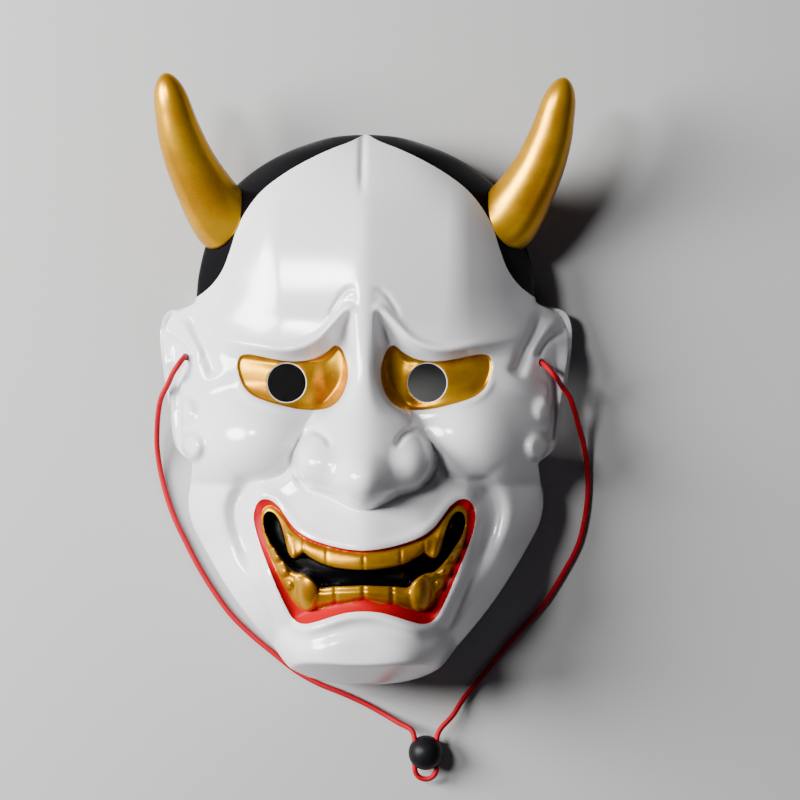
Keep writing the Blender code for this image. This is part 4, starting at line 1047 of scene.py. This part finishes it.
def nodeTree(name):
    mat = bpy.data.materials.new(name)
    mat.use_nodes = True
    tree = mat.node_tree
    return mat, tree, tree.nodes["Principled BSDF"]


def addNode(tree, kind, settings=None, **inputs):
    node = tree.nodes.new(kind)
    for key, value in (settings or {}).items():
        setattr(node, key, value)
    for key, value in inputs.items():
        socket = node.inputs[int(key[1:])] if key[0] == "i" and key[1:].isdigit() else node.inputs[key]
        setInput(tree, socket, value)
    return node


def setInput(tree, socket, value):
    if isinstance(value, bpy.types.NodeSocket):
        tree.links.new(value, socket)
    elif isinstance(value, tuple) and len(value) == 3 and socket.type == "RGBA":
        socket.default_value = (*value, 1)
    else:
        socket.default_value = value


def mixColor(tree, factor, a, b):
    node = addNode(tree, "ShaderNodeMix", {"data_type": "RGBA"})
    setInput(tree, node.inputs["Factor"], factor)
    setInput(tree, node.inputs[6], a)
    setInput(tree, node.inputs[7], b)
    return node.outputs[2]


def math2(tree, operation, a, b=0.0):
    node = addNode(tree, "ShaderNodeMath", {"operation": operation})
    setInput(tree, node.inputs[0], a)
    setInput(tree, node.inputs[1], b)
    return node.outputs[0]


def ramp(tree, value, low, high, to0=0.0, to1=1.0):
    node = addNode(tree, "ShaderNodeMapRange", {"interpolation_type": "SMOOTHSTEP"})
    setInput(tree, node.inputs["Value"], value)
    for key, number in (("From Min", low), ("From Max", high), ("To Min", to0), ("To Max", to1)):
        node.inputs[key].default_value = number
    return node.outputs["Result"]


def objectNoise(tree, scale, detail=2.0, roughness=0.5):
    place = addNode(tree, "ShaderNodeTexCoord").outputs["Object"]
    noise = addNode(tree, "ShaderNodeTexNoise", Vector=place, Scale=scale, Detail=detail,
                    Roughness=roughness)
    return noise.outputs["Fac"]


def bumpFrom(tree, height, strength, distance, normal=None):
    node = addNode(tree, "ShaderNodeBump", Strength=strength, Distance=distance, Height=height)
    if normal is not None:
        tree.links.new(normal, node.inputs["Normal"])
    return node.outputs["Normal"]


paints = {
    "white": {"color": (0.64, 0.64, 0.655), "other": (0.625, 0.625, 0.645), "rough": (0.15, 0.19),
              "peel": 0.02, "specular": 0.7},
    "bare": {"color": (0.64, 0.64, 0.655), "other": (0.61, 0.61, 0.625), "rough": (0.34, 0.42),
             "peel": 0.10, "specular": 0.5},
    "hair": {"color": (0.0022, 0.0019, 0.0027), "other": (0.0032, 0.0028, 0.0038), "rough": (0.13, 0.18),
             "peel": 0.05, "specular": 0.04},
    "red": {"color": (0.36, 0.0008, 0.005), "other": (0.30, 0.0006, 0.005), "rough": (0.36, 0.42),
            "peel": 0.05, "specular": 0.05},
    "black": {"color": (0.0008, 0.0007, 0.0012), "other": (0.0012, 0.001, 0.0016), "rough": (0.2, 0.26),
              "peel": 0.05, "specular": 0.12},
    "gold": {"color": (0.47, 0.232, 0.006), "other": (0.32, 0.130, 0.003), "flake": (0.64, 0.38, 0.03),
             "rough": (0.34, 0.40), "metallic": 0.66, "specular": 0.10},
    "horn": {"color": (0.55, 0.285, 0.007), "other": (0.41, 0.182, 0.004), "flake": (0.72, 0.45, 0.03),
             "rough": (0.30, 0.35), "metallic": 0.70, "specular": 0.10},
}


def dress(tree, shader, color, rough, normal, specular):
    setInput(tree, shader.inputs["Base Color"], color)
    setInput(tree, shader.inputs["Roughness"], rough)
    setInput(tree, shader.inputs["Normal"], normal)
    setInput(tree, shader.inputs["Specular IOR Level"], specular)


def lacquer(name, p, scales=(28, 60, 420), depth=0.0004):
    # a sprayed gloss finish: faint clouding, a slight orange peel and uneven gloss
    mat, tree, shader = nodeTree(name)
    color = mixColor(tree, ramp(tree, objectNoise(tree, scales[0], 3), 0.35, 0.65), p["color"], p["other"])
    rough = ramp(tree, objectNoise(tree, scales[1], 3), 0.3, 0.7, *p["rough"])
    peel = bumpFrom(tree, objectNoise(tree, scales[2], 2), p["peel"], depth)
    dress(tree, shader, color, rough, peel, p["specular"])
    return mat


def gilt(name, p, cloud):
    # metallic gold paint: darker where it is thin, with fine bright flakes
    mat, tree, shader = nodeTree(name)
    color = mixColor(tree, ramp(tree, objectNoise(tree, cloud, 3), 0.36, 0.68), p["color"], p["other"])
    flakes = objectNoise(tree, 1500, 2)
    color = mixColor(tree, ramp(tree, flakes, 0.55, 0.75, 0.0, 0.3), color, p["flake"])
    rough = ramp(tree, objectNoise(tree, 60, 3), 0.3, 0.7, *p["rough"])
    peel = bumpFrom(tree, objectNoise(tree, 300, 2), 0.06, 0.0004)
    dress(tree, shader, color, rough, bumpFrom(tree, flakes, 0.14, 0.0002, peel), p["specular"])
    shader.inputs["Metallic"].default_value = p["metallic"]
    return mat


# color is the cord's red painted darker as shade for the braid's grooves, other is the red on the raised
# ribs
cordFinish = {"color": (0.29, 0.0008, 0.008), "other": (0.40, 0.001, 0.011), "rough": 0.42,
              "specular": 0.12, "ribsRound": 14, "ribsAlong": 24, "relief": 0.35}
ballFinish = {"color": (0.004, 0.0038, 0.005), "other": (0.006, 0.0056, 0.0075),
              "rough": (0.36, 0.46), "peel": 0.15, "specular": 0.12}


def cordPaint(p):
    # braided elastic: two sets of slanting ribs that cross; the red is painted darker in the grooves between
    # the ribs as shade
    mat, tree, shader = nodeTree("redElasticCord")
    uv = addNode(tree, "ShaderNodeUVMap", {"uv_map": "along"}).outputs["UV"]
    ribs = []
    for slant in (1, -1):
        turned = addNode(tree, "ShaderNodeMapping", Vector=uv)
        turned.inputs["Scale"].default_value = (p["ribsRound"], p["ribsAlong"] * slant, 1)
        split = addNode(tree, "ShaderNodeSeparateXYZ", Vector=turned.outputs["Vector"])
        wave = math2(tree, "ADD", split.outputs["X"], split.outputs["Y"])
        ribs.append(math2(tree, "SINE", math2(tree, "MULTIPLY", wave, 2 * math.pi)))
    weaveAndShade = math2(tree, "MULTIPLY", ribs[0], ribs[1])
    # painted shade: the red darkens where the weave is low, in the grooves, and lightens on the ribs
    color = mixColor(tree, ramp(tree, weaveAndShade, -1.0, 1.0), p["color"], p["other"])
    dress(tree, shader, color, p["rough"], bumpFrom(tree, weaveAndShade, p["relief"], 0.00012), p["specular"])
    return mat


studio = {
    "floor": (0.36, 0.36, 0.36), "sky": (0.60, 0.54, 0.66), "skyStrength": 0.04,
    "lamps": {
        "window": {"place": (-1.0, 0.20, 0.66), "size": (0.50, 0.70), "power": 54.0,
                   "color": (1.0, 0.99, 0.975)},
        "upper": {"place": (-0.54, 0.28, 0.97), "size": (0.17, 0.24), "power": 10.5,
                  "color": (1.0, 1.0, 1.0)},
        "fill": {"place": (0.60, -0.8, 0.8), "size": (0.5, 0.5), "power": 0.5,
                 "color": (0.90, 0.86, 1.0)},
    },
}


def makeStudio(s):
    bpy.ops.object.select_all(action="DESELECT")
    bpy.ops.mesh.primitive_plane_add(size=6, location=(0, 0, -0.00005))
    floor = bpy.context.object
    floor.name = "studioFloor"
    mat, tree, shader = nodeTree("paleFloor")
    shader.inputs["Base Color"].default_value = (*s["floor"], 1)
    shader.inputs["Roughness"].default_value = 0.9
    shader.inputs["Specular IOR Level"].default_value = 0.1
    floor.data.materials.append(mat)
    world = bpy.data.worlds.new("studioSky")
    world.use_nodes = True
    back = world.node_tree.nodes["Background"]
    back.inputs["Color"].default_value = (*s["sky"], 1)
    back.inputs["Strength"].default_value = s["skyStrength"]
    bpy.context.scene.world = world
    for name, light in s["lamps"].items():
        bpy.ops.object.light_add(type="AREA", location=light["place"])
        lamp = bpy.context.object
        lamp.name = name + "Softbox"
        lamp.data.shape = "ELLIPSE"
        lamp.data.size, lamp.data.size_y = light["size"]
        lamp.data.energy = light["power"]
        lamp.data.color = light["color"]
        toward = Vector((0, 0, 0.04)) - Vector(light["place"])
        lamp.rotation_euler = toward.to_track_quat("-Z", "Y").to_euler()


def main():
    makeCamera(camera)
    route = cordRoute(cord, ball)
    cordPiece = tubePiece("elasticCord", route, cord["diameter"] / 2, 20)
    turnOutward(cordPiece)
    ballPiece = makeBall(ball)
    knots = [makeKnot("knotLeft", knot["left"], knot), makeKnot("knotRight", knot["right"], knot)]
    print("cord and ball made, cord length in mm", round(lineLength(route), 1))
    finish = {k: lacquer(k + "Lacquer", v) for k, v in paints.items() if "metallic" not in v}
    finish["gold"] = gilt("goldEyesAndTeeth", paints["gold"], 90)
    moulding = makeMoulding(finish)
    horns = [makeHorn("hornGiltLeft", -1, horn), makeHorn("hornGiltRight", 1, horn)]
    print("horns made")

    red, gold = cordPaint(cordFinish), gilt("goldHorns", paints["horn"], 42)
    black = lacquer("blackBall", ballFinish, (180, 300, 900), 0.0002)
    for piece, paint, slot, node in (
            (moulding, None, "shell_gloss", "mask_shell"), (horns[0], gold, "horn_gold", "horn_left"),
            (horns[1], gold, "horn_gold", "horn_right"), (cordPiece, red, "cord_red", "cord"),
            (ballPiece, black, "bead_black", "cord_bead"), (knots[0], red, "cord_red", "knot_left"),
            (knots[1], red, "cord_red", "knot_right")):
        if paint:
            piece.data.materials.append(paint)
        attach(piece, "root")
        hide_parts(node)
    makeStudio(studio)
    print("studio made")


main()
